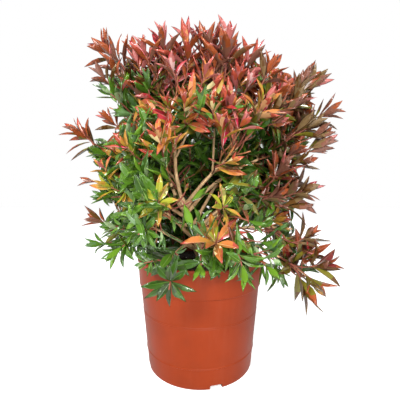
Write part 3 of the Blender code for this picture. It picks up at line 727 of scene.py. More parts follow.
def pot_profile():
    """The pot's section from the middle of its floor, up the inside, over the rim and down the outside."""
    band_foot = POT_HEIGHT - BAND_HEIGHT
    points = [(0.0, FLOOR), (wall_radius(FLOOR) - WALL - 0.004, FLOOR)]
    points.append((wall_radius(FLOOR) - WALL, FLOOR + 0.004))
    points.append((wall_radius(band_foot) - WALL, band_foot))
    points.append((BAND_FOOT_RADIUS - WALL - 0.0006, band_foot + 0.004))
    points.append((RIM_RADIUS - 2 * RIM_ROUND, POT_HEIGHT - RIM_ROUND - 0.002))
    points += arc((RIM_RADIUS - RIM_ROUND, POT_HEIGHT - RIM_ROUND), RIM_ROUND, 180, 0, 10)
    points.append((RIM_RADIUS - 0.0002, POT_HEIGHT - 0.0046))
    points += arc((RIM_RADIUS - 0.0016, POT_HEIGHT - 0.0050), 0.0012, 0, -90, 4)
    points.append((BAND_FOOT_RADIUS + 0.0002, band_foot + 0.002))
    points += arc((BAND_FOOT_RADIUS - 0.0008, band_foot + 0.0010), 0.0010, 0, -90, 5)
    points.append((wall_radius(band_foot) + 0.0002, band_foot - 0.0003))
    points.append((wall_radius(band_foot), band_foot - 0.0012))
    upper, lower = sorted(MOULD_LINE_HEIGHTS, reverse=True)
    for height, width in ((upper + 0.0022, 0.0006), (upper, 0.0008)):
        points.append((wall_radius(height), height + width))
        points.append((wall_radius(height) + 0.00035, height))
        points.append((wall_radius(height), height - width))
    points.append((wall_radius(lower), lower + 0.0016))
    points.append((wall_radius(lower) + 0.0006, lower + 0.0006))
    points.append((wall_radius(lower) + 0.0006, lower - 0.0004))
    points.append((wall_radius(lower) - 0.0004, lower - 0.0012))
    points.append((wall_radius(0.006) - 0.0002, 0.006))
    points += arc((FOOT_RADIUS - 0.0026, 0.0024), 0.0024, 0, -90, 5)
    points.append((0.0, 0.0))
    return points


def supported(points, room):
    """The profile with extra points near both ends of every long straight stretch, to hold the shading."""
    result = points[:1]
    for a, b in zip(points, points[1:]):
        span = math.hypot(b[0] - a[0], b[1] - a[1])
        if span > 4 * room:
            for share in (room / span, 1 - room / span):
                result.append((a[0] + (b[0] - a[0]) * share, a[1] + (b[1] - a[1]) * share))
        result.append(b)
    return result


def spun(profile, segments):
    """Spins a profile of (radius, height) points about the Z axis into a closed bmesh."""
    bm = bmesh.new()
    vertices = [bm.verts.new((radius, 0.0, height)) for radius, height in profile]
    edges = [bm.edges.new(pair) for pair in zip(vertices, vertices[1:])]
    bmesh.ops.spin(bm, geom=vertices + edges, cent=(0, 0, 0), axis=(0, 0, 1), angle=2 * math.pi,
                   steps=segments, use_merge=True)
    bmesh.ops.remove_doubles(bm, verts=bm.verts, dist=0.00001)
    bmesh.ops.recalc_face_normals(bm, faces=bm.faces)
    return bm


def notch_cutter():
    """Boxes with rounded upper corners that open the drainage notches in the pot's lower edge."""
    bm = bmesh.new()
    for index in range(NOTCH_COUNT):
        angle = FIRST_NOTCH_ANGLE + index * 2 * math.pi / NOTCH_COUNT
        size = Matrix.Diagonal((NOTCH_WIDTH, NOTCH_DEPTH, 2 * NOTCH_HEIGHT, 1.0))
        place = Matrix.Rotation(angle, 4, "Z") @ Matrix.Translation((0.0, -FOOT_RADIUS, 0.0))
        cube = bmesh.ops.create_cube(bm, size=1.0, matrix=place @ size)["verts"]
        upright = [edge for edge in {e for v in cube for e in v.link_edges}
                   if abs(edge.verts[0].co.z - edge.verts[1].co.z) < 0.0001
                   and edge.verts[0].co.z > 0 and edge.calc_length() > NOTCH_DEPTH * 0.98]
        bmesh.ops.bevel(bm, geom=upright, offset=0.002, offset_type="OFFSET", affect="EDGES", segments=3,
                        profile=0.5, material=-1)
    cutter = bpy.data.objects.new("notch_cutter", mesh_of(bm, "notch_cutter"))
    bpy.context.scene.collection.objects.link(cutter)
    return cutter


def plastic(settings):
    """Semi-matte moulded plastic: faint clouding, dust and drip marks, and a soft grain."""
    mat, tree, surface = principled("terracotta_plastic", settings.colour, settings.roughness)
    place = tree.nodes.new("ShaderNodeTexCoord").outputs["Object"]
    cloud = noise_at(tree, place, 14.0, 5.0)
    tone = ramp(tree, cloud.outputs["Fac"], ((0.30, shade(settings.colour, 0.86)), (0.50, settings.colour),
                                             (0.72, shade(settings.colour, 1.10))))
    stretch = node(tree, "ShaderNodeMapping")
    stretch.inputs["Scale"].default_value = (60.0, 60.0, 5.0)
    tree.links.new(place, stretch.inputs["Vector"])
    streaks = noise_at(tree, stretch.outputs["Vector"], 1.0, 6.0, 0.7)
    dust = ramp(tree, streaks.outputs["Fac"], ((0.52, (0, 0, 0)), (0.78, (1, 1, 1))))
    mix = node(tree, "ShaderNodeMix", data_type="RGBA")
    tree.links.new(tone.outputs["Color"], mix.inputs["A"])
    mix.inputs["B"].default_value = (*settings.dust, 1.0)
    part = node(tree, "ShaderNodeMath", operation="MULTIPLY")
    tree.links.new(dust.outputs["Color"], part.inputs[0])
    part.inputs[1].default_value = 0.35
    tree.links.new(part.outputs["Value"], mix.inputs["Factor"])
    tree.links.new(mix.outputs["Result"], surface.inputs["Base Color"])
    tree.links.new(value_range(tree, streaks.outputs["Fac"], settings.roughness - 0.08, settings.roughness + 0.14),
                   surface.inputs["Roughness"])
    surface.inputs["Specular IOR Level"].default_value = settings.shine
    grain = noise_at(tree, place, 900.0, 2.0)
    bump(tree, surface, grain.outputs["Fac"], 0.12, 0.0004)
    return mat


def make_pot(settings):
    """The open plastic pot with its band, rounded rim, moulded lines and drainage notches."""
    pot = new_object("pot_shell", mesh_of(spun(supported(pot_profile(), 0.0008), settings.segments), "pot_shell"))
    cutter = notch_cutter()
    cut = pot.modifiers.new("Notches", "BOOLEAN")
    cut.object = cutter
    cut.solver = "EXACT"
    bpy.context.view_layer.update()
    evaluated = pot.evaluated_get(bpy.context.evaluated_depsgraph_get())
    pot.data = bpy.data.meshes.new_from_object(evaluated)
    pot.modifiers.clear()
    bpy.data.objects.remove(cutter, do_unlink=True)
    pot.data.materials.clear()
    pot.data.materials.append(plastic(settings))
    pot.data.shade_smooth()
    pot.data.set_sharp_from_angle(angle=math.radians(40))
    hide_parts("pot")
    return pot


# Soil


def ground_height(x, y):
    """Height of the soil's lumpy top."""
    reach = math.hypot(x, y)
    if reach < SOIL_FLAT_RADIUS:
        return SOIL_TOP
    lump = SOIL_ROUGHNESS * noise.noise(Vector((x, y, SOIL_TOP)) / SOIL_LUMP)
    fine = 0.0008 * noise.noise(Vector((x, y, 0.0)) / 0.004)
    return SOIL_TOP + (lump + fine) * min(1.0, (reach - SOIL_FLAT_RADIUS) / 0.01)


def soil_material(settings):
    """Dark peat with paler fibres."""
    mat, tree, surface = principled("potting_soil", settings.colour, 0.95)
    place = tree.nodes.new("ShaderNodeTexCoord").outputs["Object"]
    crumbs = noise_at(tree, place, 260.0, 8.0, 0.75)
    tone = ramp(tree, crumbs.outputs["Fac"], ((0.35, shade(settings.colour, 0.35)), (0.52, settings.colour),
                                              (0.70, shade(settings.colour, 3.2))))
    tree.links.new(tone.outputs["Color"], surface.inputs["Base Color"])
    bump(tree, surface, crumbs.outputs["Fac"], 0.9, 0.002)
    return mat


def grain_pieces(rng, count, size, flatness, radius):
    """Joined small lumps that lie on the soil, each an uneven squashed ball of twenty faces."""
    bm = bmesh.new()
    for _ in range(count):
        reach = radius * math.sqrt(rng.uniform(0.03, 1.0))
        angle = rng.uniform(0, 2 * math.pi)
        x = reach * math.cos(angle)
        y = reach * math.sin(angle)
        long = size * rng.uniform(0.5, 1.3)
        scale = Matrix.Diagonal((long, long * rng.uniform(0.4, 0.8), long * flatness, 1.0))
        turn = (Matrix.Rotation(rng.uniform(0, 6.3), 4, "Z") @ Matrix.Rotation(rng.uniform(-0.6, 0.6), 4, "X"))
        lift = ground_height(x, y) + long * flatness * 0.25
        lump = bmesh.ops.create_icosphere(bm, subdivisions=1, radius=0.5,
                                          matrix=Matrix.Translation((x, y, lift)) @ turn @ scale)["verts"]
        for vertex in lump:
            vertex.co += Vector((rng.uniform(-1, 1), rng.uniform(-1, 1), rng.uniform(-1, 1))) * long * 0.10
    return bm


def make_soil(settings):
    """The potting soil, with bark chips and white grains lying on it."""
    inner_top = wall_radius(SOIL_TOP) - WALL - CLEARANCE - 0.0012
    inner_foot = wall_radius(FLOOR) - WALL - CLEARANCE - 0.0045
    profile = [(0.0, SOIL_TOP)] + [(inner_top * ring / 40, SOIL_TOP) for ring in range(1, 40)]
    profile += [(inner_top, SOIL_TOP - 0.001), (wall_radius(0.145) - WALL - 0.0012, 0.145)]
    profile += [(inner_foot, FLOOR + CLEARANCE), (0.0, FLOOR + CLEARANCE)]
    bm = spun(profile, 112)
    for vertex in bm.verts:
        if vertex.co.z > SOIL_TOP - 0.0005:
            vertex.co.z = ground_height(vertex.co.x, vertex.co.y)
    soil = new_object("soil_bed", mesh_of(bm, "soil_bed"))
    soil.data.shade_smooth()
    soil.data.materials.append(soil_material(settings))
    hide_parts("soil")

    rng = random.Random(7)
    chips = new_object("bark_chips", mesh_of(
        grain_pieces(rng, settings.chips, settings.chip_size, 0.35, inner_top - 0.006), "bark_chips"))
    chip, tree, surface = principled("bark_chip", (0.060, 0.030, 0.016), 0.9)
    place = tree.nodes.new("ShaderNodeTexCoord").outputs["Object"]
    fibre = noise_at(tree, place, 400.0, 4.0)
    tone = ramp(tree, fibre.outputs["Fac"], ((0.3, (0.014, 0.008, 0.005)), (0.7, (0.095, 0.048, 0.024))))
    tree.links.new(tone.outputs["Color"], surface.inputs["Base Color"])
    bump(tree, surface, fibre.outputs["Fac"], 0.6, 0.001)
    chips.data.materials.append(chip)

    grains = new_object("white_grains", mesh_of(
        grain_pieces(rng, settings.grains, 0.0032, 0.8, inner_top - 0.006), "white_grains"))
    white, tree, surface = principled("white_grain", (0.72, 0.70, 0.64), 0.85)
    place = tree.nodes.new("ShaderNodeTexCoord").outputs["Object"]
    specks = noise_at(tree, place, 700.0, 3.0)
    tone = ramp(tree, specks.outputs["Fac"], ((0.3, (0.42, 0.38, 0.32)), (0.6, (0.74, 0.72, 0.67))))
    tree.links.new(tone.outputs["Color"], surface.inputs["Base Color"])
    grains.data.materials.append(white)


# The source's rule for limbs


def bezier(a, b, c, d, t):
    """A point on the cubic curve with the four control points."""
    u = 1 - t
    return a * u ** 3 + b * (3 * u * u * t) + c * (3 * u * t * t) + d * t ** 3


class Limb:
    """A tapering limb: points along its middle line, with a radius at each."""

    def __init__(self, points, radii):
        self.points = points
        self.radii = radii

    def at(self, t):
        """The point, direction and radius a share t of the way along."""
        place = min(max(t, 0.0), 1.0) * (len(self.points) - 1)
        i = min(int(place), len(self.points) - 2)
        share = place - i
        point = self.points[i].lerp(self.points[i + 1], share)
        heading = (self.points[i + 1] - self.points[i]).normalized()
        return point, heading, self.radii[i] + (self.radii[i + 1] - self.radii[i]) * share

    def length(self):
        """The length of the middle line."""
        return sum((b - a).length for a, b in zip(self.points, self.points[1:]))


class Mass:
    """One mass of foliage: the middle and radius of its space, and where its bough leaves its parent."""

    def __init__(self, name, across, depth, height, radius, parent, start):
        self.name = name
        self.middle = Vector((across, depth, height))
        self.radius = radius
        self.parent = parent
        self.start = start


def trunk_limb():
    """The trunk, from a flat cut on the soil through its root flare to the low fork."""
    foot = Vector((0.0, 0.0, SOIL_TOP + CLEARANCE))
    rise = FORK.z - foot.z
    points = []
    radii = []
    for step in range(TRUNK_POINTS):
        t = (step / (TRUNK_POINTS - 1)) ** FOOT_CROWDING
        bend = bezier(foot, foot + Vector((0, 0, rise * TRUNK_RISE)), FORK - TRUNK_LEAN, FORK, t)
        above = max(0.0, 1 - (bend.z - foot.z) / FLARE_HEIGHT)
        radius = TRUNK_RADIUS + (FORK_RADIUS - TRUNK_RADIUS) * t
        points.append(bend)
        radii.append(radius + (TRUNK_FOOT_RADIUS - TRUNK_RADIUS) * above ** 2)
    points[1].xy = points[0].xy
    return Limb(points, radii)


def outward(mass):
    """The way a mass faces: away from the crown's heart, and a little up."""
    return ((mass.middle - HEART).normalized() + Vector((0, 0, ARRIVING_LIFT))).normalized()


def limb_to(mass, parent):
    """The whole limb of a mass, from its parent to the middle of its space."""
    origin, heading, thickness = parent.at(mass.start)
    main = mass.parent == "trunk"
    radius = min(MAIN_BOUGH_RADIUS if main else SIDE_BOUGH_RADIUS, thickness * BOUGH_SHARE)
    away = mass.middle - origin
    level = Vector((away.x, away.y, 0.0)).normalized()
    if mass.start >= 1.0:
        start = origin + heading * radius
        leave = heading
    else:
        side = (away - heading * away.dot(heading)).normalized()
        leave = (side + heading * LEAVING_RISE).normalized()
        start = origin + side * (thickness + radius)
    arrive = (outward(mass) + level * ARRIVING_SPREAD).normalized()
    if mass.middle.z < ARCH_HEIGHT:
        leave = (leave + Vector((0, 0, ARCH_RISE))).normalized()
        arrive = (level - Vector((0, 0, ARCH_FALL))).normalized()
    span = (mass.middle - start).length
    leaving = start + leave * (span * LEAVING_PULL)
    arriving = mass.middle - arrive * (span * ARRIVING_PULL)
    points = []
    radii = []
    for step in range(LIMB_POINTS):
        t = step / (LIMB_POINTS - 1)
        points.append(bezier(start, leaving, arriving, mass.middle, t))
        radii.append(radius + (STEM_END_RADIUS - radius) * t ** BOUGH_TAPER)
    return Limb(points, radii)


@functools.lru_cache(maxsize=1)
def grown_limbs():
    """The masses, the trunk and the limb of every mass."""
    masses = [Mass(*row) for row in MASSES]
    trunk = trunk_limb()
    limbs = {"trunk": trunk}
    for mass in masses:
        limbs[mass.name] = limb_to(mass, limbs.get(mass.parent, trunk))
    return masses, limbs


# Bark


def smoothed(limb, steps):
    """The limb with more points, on a smooth curve through its own points."""
    points = limb.points
    fine_points = []
    fine_radii = []
    last = len(points) - 1
    for i in range(last):
        before = points[max(i - 1, 0)]
        after = points[min(i + 2, last)]
        for step in range(steps):
            t = step / steps
            a, b = points[i], points[i + 1]
            fine_points.append(0.5 * (2 * a + (b - before) * t + (2 * before - 5 * a + 4 * b - after) * t * t
                                      + (3 * a - before - 3 * b + after) * t ** 3))
            fine_radii.append(limb.radii[i] + (limb.radii[i + 1] - limb.radii[i]) * t)
    fine_points.append(points[last])
    fine_radii.append(limb.radii[last])
    return Limb(fine_points, fine_radii)


def carried_frames(points):
    """A steady sideways direction for every point of a path."""
    frames = []
    heading = (points[1] - points[0]).normalized()
    side = heading.orthogonal().normalized()
    for i in range(len(points)):
        following = (points[min(i + 1, len(points) - 1)] - points[max(i - 1, 0)]).normalized()
        side = (heading.rotation_difference(following) @ side).normalized()
        heading = following
        frames.append((side, heading.cross(side).normalized(), heading))
    return frames


def bark_tube(bm, limb, sides, relief, spacing, seed, material_index=0):
    """Adds a limb with ridged bark and old leaf nodes to the bmesh, closed at both ends."""
    uv = bm.loops.layers.uv.verify()
    frames = carried_frames(limb.points)
    rings = []
    travelled = 0.0
    marks = []
    for i, (point, radius, (side, across, _)) in enumerate(zip(limb.points, limb.radii, frames)):
        if i:
            travelled += (point - limb.points[i - 1]).length
        node_bulge = 0.10 * max(0.0, math.cos(2 * math.pi * travelled / spacing)) ** 8
        ring = []
        for k in range(sides):
            angle = 2 * math.pi * k / sides
            way = side * math.cos(angle) + across * math.sin(angle)
            ridge = noise.noise(Vector((math.cos(angle) * 2.2, math.sin(angle) * 2.2, travelled / 0.012 + seed * 7.1)))
            fine = noise.noise(Vector((math.cos(angle) * 6.0, math.sin(angle) * 6.0, travelled / 0.005 + seed)))
            ring.append(bm.verts.new(point + way * radius * (1 + relief * (ridge + 0.5 * fine) + node_bulge)))
        rings.append(ring)
        marks.append(travelled)
    for i, (ring, following) in enumerate(zip(rings, rings[1:])):
        for k in range(sides):
            other = (k + 1) % sides
            face = bm.faces.new((ring[k], ring[other], following[other], following[k]))
            face.smooth = True
            face.material_index = material_index
            places = ((k, i), (k + 1, i), (k + 1, i + 1), (k, i + 1))
            for loop, (column, row) in zip(face.loops, places):
                loop[uv].uv = (column / sides, marks[row] / 0.03 + seed * 0.37)
    bm.faces.new(list(reversed(rings[0]))).material_index = material_index
    bm.faces.new(rings[-1]).material_index = material_index


def bark_material(name, colour, dark, light):
    """Thin fibrous bark: long fissures, paler flakes and darker hollows, running along the limb."""
    mat, tree, surface = principled(name, colour, 0.75)
    uv = tree.nodes.new("ShaderNodeUVMap").outputs["UV"]
    stretch = node(tree, "ShaderNodeMapping")
    stretch.inputs["Scale"].default_value = (9.0, 2.2, 1.0)
    tree.links.new(uv, stretch.inputs["Vector"])
    fibres = noise_at(tree, stretch.outputs["Vector"], 1.6, 8.0, 0.7)
    tone = ramp(tree, fibres.outputs["Fac"], ((0.32, dark), (0.50, colour), (0.68, light)))
    place = tree.nodes.new("ShaderNodeTexCoord").outputs["Object"]
    patches = noise_at(tree, place, 60.0, 3.0)
    tint = ramp(tree, patches.outputs["Fac"], ((0.35, (0.72, 0.66, 0.62)), (0.6, (1.0, 1.0, 1.0))))
    mix = node(tree, "ShaderNodeMix", data_type="RGBA", blend_type="MULTIPLY")
    mix.inputs["Factor"].default_value = 1.0
    tree.links.new(tone.outputs["Color"], mix.inputs["A"])
    tree.links.new(tint.outputs["Color"], mix.inputs["B"])
    tree.links.new(mix.outputs["Result"], surface.inputs["Base Color"])
    bump(tree, surface, fibres.outputs["Fac"], 0.5, 0.0008)
    return mat


def make_branches(settings):
    """Trunk and boughs as one mesh with the bark's relief; each limb's foot is sunk into its parent."""
    masses, limbs = grown_limbs()
    bm = bmesh.new()
    trunk = limbs["trunk"]
    bark_tube(bm, smoothed(trunk, 8), 20, settings.relief, settings.node_spacing, 0)
    for seed, mass in enumerate(masses):
        limb = limbs[mass.name]
        parent_point = limbs.get(mass.parent, trunk).at(mass.start)[0]
        rooted = Limb([limb.points[0].lerp(parent_point, 0.8)] + limb.points, [limb.radii[0] * 1.25] + limb.radii)
        bark_tube(bm, smoothed(rooted, 5), 12, settings.relief, settings.node_spacing, seed + 1, 1)
    branches = new_object("branches", mesh_of(bm, "branches"))
    old = bark_material("old_bark", settings.colour, shade(settings.colour, 0.50), shade(settings.colour, 1.5))
    young_colour = (0.88, 0.56, 0.29)
    young = bark_material("young_bark", young_colour, shade(young_colour, 0.45), shade(young_colour, 1.45))
    branches.data.materials.append(old)
    branches.data.materials.append(young)
    boughs = [name for name in frame["nodes"] if name.startswith("bough_")]
    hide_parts("trunk", *boughs)
    return branches


# Twigs and leaves


def around(axis, angle, tilt):
    """A direction tilted from an axis, turned about it by an angle."""
    turned = axis.to_track_quat("Z", "Y")
    return turned @ Vector((math.sin(tilt) * math.cos(angle), math.sin(tilt) * math.sin(angle), math.cos(tilt)))


def cap_direction(axis, index, count, spread):
    """One of count directions spread evenly over a cap round an axis, by the golden angle."""
    height = 1 - (index + 0.5) / count * (1 + spread)
    return around(axis, index * GOLDEN_ANGLE, math.acos(max(-1.0, height)))


def clear_of_pot(point, room):
    """True where a point stands clear of the pot and the soil by the given room."""
    radius = point.xy.length
    if point.z > POT_HEIGHT + room:
        return True
    if radius > RIM_RADIUS + room:
        return True
    return radius < RIM_RADIUS - 2 * RIM_ROUND - WALL - room and point.z > SOIL_TOP + SOIL_ROUGHNESS + room


def in_crown(point, masses, reach):
    """True where a point keeps to the reach of some mass and to the frame's box."""
    low, high = CAD_BOX
    if not all(low[i] - BOX_ROOM < point[i] < high[i] + BOX_ROOM for i in range(3)):
        return False
    return any((point - mass.middle).length < mass.radius * reach for mass in masses)


def seen(point):
    """Where a point stands for the front view: across and up on the plane through the pot's axis."""
    shrink = VIEW_DISTANCE / (VIEW_DISTANCE + point.y)
    return point.x * shrink, VIEW_HEIGHT + (point.z - VIEW_HEIGHT) * shrink


def in_gap(point):
    """True where a point stands in front of one of the gaps that show from the front."""
    across, up = seen(point)
    return any(point.y < depth and math.hypot((across - x) / half_width, (up - z) / half_height) < 1.0
               for x, z, half_width, half_height, depth in GAPS)


def in_outline(point):
    """True where a point stands within the dense part of the crown from the front."""
    across, up = seen(point)
    inside = False
    for (x0, z0), (x1, z1) in zip(OUTLINE, OUTLINE[1:] + OUTLINE[:1]):
        if (z0 > up) != (z1 > up) and across < x0 + (x1 - x0) * (up - z0) / (z1 - z0):
            inside = not inside
    return inside


def crown_front(across, up, masses):
    """The mass that the front view shows at a place, and the point where the sight line meets its shell."""
    eye = Vector((0.0, -VIEW_DISTANCE, VIEW_HEIGHT))
    ray = (Vector((across, 0.0, up)) - eye).normalized()
    best = None
    for mass in masses:
        reach = (mass.middle - eye).dot(ray)
        miss = (eye + ray * reach - mass.middle).length
        shell = mass.radius * FRONT_SHELL
        if miss < shell:
            reach -= math.sqrt(shell ** 2 - miss ** 2)
            order = (0, reach)
        else:
            order = (1, miss / mass.radius)
        if best is None or order < best[0]:
            best = (order, mass, eye + ray * reach)
    return best[1], best[2]


def nearest_mass(point, masses):
    """The mass whose space holds a point most deeply."""
    return min(masses, key=lambda mass: (point - mass.middle).length / mass.radius)


class FrontShoot:
    """A shoot that shows from the front: the mass it belongs to, its tuft's foot, way, size and colouring."""

    def __init__(self, mass, foot, turn, lean, spread, size, leaves, colouring):
        self.mass = mass
        self.foot = foot
        turn = math.radians(turn)
        lean = math.radians(lean)
        self.way = Vector((math.sin(turn) * math.cos(lean), -math.sin(lean), math.cos(turn) * math.cos(lean)))
        self.middle = foot + self.way * (TUFT_VIEW * size)
        self.size = size * (VIEW_DISTANCE + self.middle.y) / VIEW_DISTANCE
        self.spread = spread
        self.leaves = leaves
        self.ways = COLOURINGS[colouring]

    def hidden_by(self, point):
        """True where a point stands in front of the tuft."""
        if point.y > self.middle.y:
            return False
        across, up = seen(point)
        own_across, own_up = seen(self.middle)
        reach = STAR_VIEW if self.spread > STAR_SPREAD else TUFT_VIEW
        return math.hypot(across - own_across, up - own_up) < reach * self.size


def front_shoots(masses):
    """The shoots that show from the front, and the deeper ones that close the crown behind them."""
    shoots = []
    for across, up, *looks in FRONT_SHOOTS:
        mass, foot = crown_front(across, up, masses)
        shoots.append(FrontShoot(mass, foot, *looks))
    for across, up, depth, colouring in DEEP_SHOOTS:
        stretch = (VIEW_DISTANCE + depth) / VIEW_DISTANCE
        foot = Vector((across * stretch, depth, VIEW_HEIGHT + (up - VIEW_HEIGHT) * stretch))
        shoots.append(FrontShoot(nearest_mass(foot, masses), foot, 0, DEEP_LEAN, DEEP_SPREAD, 1.0, DEEP_LEAVES,
                                 colouring))
    return shoots


def crown_outward(point):
    """The way shoots turn at a point of the crown: away from its heart and, above the skirt, up."""
    lift = CROWN_LIFT if point.z > SKIRT_HEIGHT else SKIRT_LIFT
    return ((point - HEART).normalized() + Vector((0, 0, lift))).normalized()


def twig_path(base, heading, tip, away, points=6):
    """Points of a twig that leaves with the heading and arrives at the tip facing away."""
    span = (tip - base).length
    return [bezier(base, base + heading * span * 0.35, tip - away * span * 0.35, tip, step / (points - 1))
            for step in range(points)]


def new_colours(point, rng):
    """The colouring of new growth, by where it stands in the crown."""
    chance = rng.random()
    if point.z > 0.50:
        red = "crimson" if chance < 0.45 else "coral"
        return red if abs(point.x) < 0.10 and chance < 0.8 else "rust"
    if point.x > 0.12 and point.z > 0.20:
        return "bronze" if chance < 0.4 else ("rust" if chance < 0.6 else "dusk")
    # Right of the middle, 0.28 to 0.40 high, new growth is mostly dark green to paint the shade of a recess in the
    # crown
    if point.x > 0.03 and 0.28 < point.z < 0.40:
        return "dark_green" if chance < 0.7 else "turning"
    if point.z > 0.40:
        if point.x < -0.09:
            return "green" if chance < 0.6 else "rust"
        return "orange" if chance < 0.4 else ("coral" if chance < 0.8 else "sunset")
    if point.z > 0.32:
        if -0.09 < point.x < -0.02:
            return "orange" if chance < 0.4 else "green"
        return "green" if chance < 0.8 else "sunset"
    return "lime" if chance < 0.06 else ("fresh" if chance < 0.2 else "green")


def old_colours(point, rng):
    """The colouring of full-grown leaves, by where they stand in the crown."""
    chance = rng.random()
    if (point - HEART).length < SHADE_REACH:
        return "shade" if chance < 0.8 else "dark_green"
    if point.x > 0.12 and point.z > 0.20:
        return "dusk" if chance < 0.45 else ("rust" if chance < 0.6 else ("shade" if chance < 0.8 else "turning"))
    # Right of the middle, 0.28 to 0.42 high, leaves take the shade or dark green colouring to paint the shade of a
    # recess in the crown
    if point.x > 0.03 and 0.28 < point.z < 0.42:
        return "shade" if chance < 0.5 else "dark_green"
    if point.z > 0.50:
        return "dusk" if chance < 0.15 else ("rust" if chance < 0.5 else ("coral" if chance < 0.65 else "turning"))
    # The larger share of sage leaves on the left paints the silvery sheen that shows there
    if chance < (0.40 if point.x < -0.05 else 0.20):
        return "sage"
    return "dark_green" if chance < 0.50 else "green"


class Spray:
    """Gathers the twigs and leaves of one mass."""

    def __init__(self, masses, front, settings, rng):
        self.masses = masses
        self.front = front
        self.settings = settings
        self.rng = rng
        self.leaves = []
        self.twigs = []

    def add_twig(self, path, foot_radius, tip_radius, tint):
        """Adds a twig along a path."""
        last = len(path) - 1
        radii = [foot_radius + (tip_radius - foot_radius) * i / last for i in range(len(path))]
        self.twigs.append((path, radii, tint))

    def room_for(self, middle, tip, shows):
        """True where a leaf keeps to the crown and clears the pot; a hidden one also keeps within the crown's outline
        from the front.
        """
        reach = FRONT_REACH if shows else MASS_REACH
        if not in_crown(tip, self.masses, reach):
            return False
        if not shows and not in_outline(tip):
            return False
        return clear_of_pot(tip, 0.002) and clear_of_pot(middle, 0.003)

    def add_leaf(self, root, axis, along, length, width, bend, fold, way, shows=False):
        """Adds a leaf if it has room, shorter if it must be; its upper side faces the axis."""
        rng = self.rng
        roll = rng.uniform(-0.5, 0.5)
        twist = rng.uniform(-0.6, 0.6)
        for _ in range(4):
            middle = root + along * length * 0.55
            tip = root + along * length
            if not shows and (in_gap(middle) or in_gap(tip)):
                return
            if self.room_for(middle, tip, shows):
                break
            length *= 0.88
        else:
            return
        if not shows and any(shoot.hidden_by(middle) or shoot.hidden_by(tip) for shoot in self.front):
            return
        up = (axis - along * axis.dot(along)).normalized()
        up = (up * math.cos(roll) + along.cross(up) * math.sin(roll)).normalized()
        colours = [TINT_NAMES.index(name) for name in way]
        self.leaves.append((root, along, up, length, width, bend, fold, twist, colours))

    def leafy_bough(self, limb, first):
        """Old leaves along the outer part of a bough, in the shade of the crown."""
        rng = self.rng
        count = int(limb.length() * (0.92 - first) / 0.0045)
        turn = rng.uniform(0, 2 * math.pi)
        for index in range(count):
            root, axis, radius = limb.at(first + (0.92 - first) * index / count)
            along = around(axis, turn + index * GOLDEN_ANGLE, math.radians(rng.uniform(48, 74)))
            way = rng.choice(COLOURINGS["shade" if rng.random() < 0.7 else "dark_green"])
            self.add_leaf(root + along * radius * 0.5, axis, along, self.settings.length * rng.uniform(0.85, 1.1),
                          self.settings.width * rng.uniform(0.85, 1.05), rng.uniform(-0.4, 0.1), 0.25, way)

    def stem_leaves(self, path, bare, spacing, flush, colouring):
        """Leaves along a shoot in a spiral: full-grown ones below, new ones over its last stretch."""
        settings = self.settings
        rng = self.rng
        shoot = Limb(path, [0.001] * len(path))
        count = max(2, int(shoot.length() * (1 - bare) / spacing))
        turn = rng.uniform(0, 2 * math.pi)
        for index in range(count):
            share = bare + (0.95 - bare) * index / count
            root, axis, _ = shoot.at(share)
            if share > 1 - flush:
                ways = colouring
            elif share > 1 - flush - 0.25 and colouring is not COLOURINGS["green"]:
                ways = COLOURINGS["turning"]
            elif share < 0.45 and rng.random() < 0.6:
                ways = COLOURINGS["shade"]
            else:
                ways = COLOURINGS[old_colours(root, rng)]
            tilt = math.radians(62 - 16 * share + rng.uniform(-12, 12))
            along = around(axis, turn + index * GOLDEN_ANGLE, tilt)
            self.add_leaf(root, axis, along, settings.length * rng.uniform(0.82, 1.08),
                          settings.width * rng.uniform(0.80, 1.05), rng.uniform(-0.45, 0.15),
                          rng.uniform(0.20, 0.65), rng.choice(ways))

    def tuft(self, foot, axis, count, spread, size, ways, shows=False):
        """A tuft of leaves on a shoot's tip: wide ones at its foot, then upright and smaller ones inside."""
        rng = self.rng
        length = self.settings.length * size
        width = self.settings.width * size
        star = spread > STAR_SPREAD
        closing = STAR_CLOSING if star else TULIP_CLOSING
        if star:
            width *= STAR_WIDENING
        else:
            spread *= TULIP_OPENING
            count = round(count * TULIP_SHARE)
        stretch = length * count * (STAR_STRETCH if star else TUFT_STRETCH)
        turn = rng.uniform(0, 2 * math.pi)
        for index in range(count):
            inner = index / max(1, count - 1)
            root = foot + axis * stretch * inner
            tilt = math.radians(spread * (1 - closing * inner) + rng.uniform(-8, 8))
            along = around(axis, turn + index * GOLDEN_ANGLE, tilt)
            # Inner leaves take the later ways, which hold the pale pink painted highlight
            way = ways[min(int((inner * 0.5 + rng.random() * 0.6) * len(ways)), len(ways) - 1)]
            self.add_leaf(root, axis, along, length * (1.10 - (0.15 if star else 0.42) * inner) * rng.uniform(0.78, 1.12),
                          width * (1.05 - 0.20 * inner) * rng.uniform(0.85, 1.1), rng.uniform(-0.55, 0.25),
                          rng.uniform(0.30, 0.80), way, shows)

    def leafy_twig(self, path, out, spacing, flush, spread, size, ways):
        """Leaves along a twig and a tuft on its tip; returns the stretch of the twig that has leaves, or nothing."""
        first = len(self.leaves)
        self.stem_leaves(path, 0.15, spacing, flush, ways)
        stem = len(self.leaves)
        self.tuft(path[-1], out, self.settings.tuft, spread, size, ways)
        if len(self.leaves) - stem >= FEWEST_LEAVES:
            return path
        if stem - first >= FEWEST_LEAVES:
            del self.leaves[stem:]
            return path[:-1]
        del self.leaves[first:]
        return None

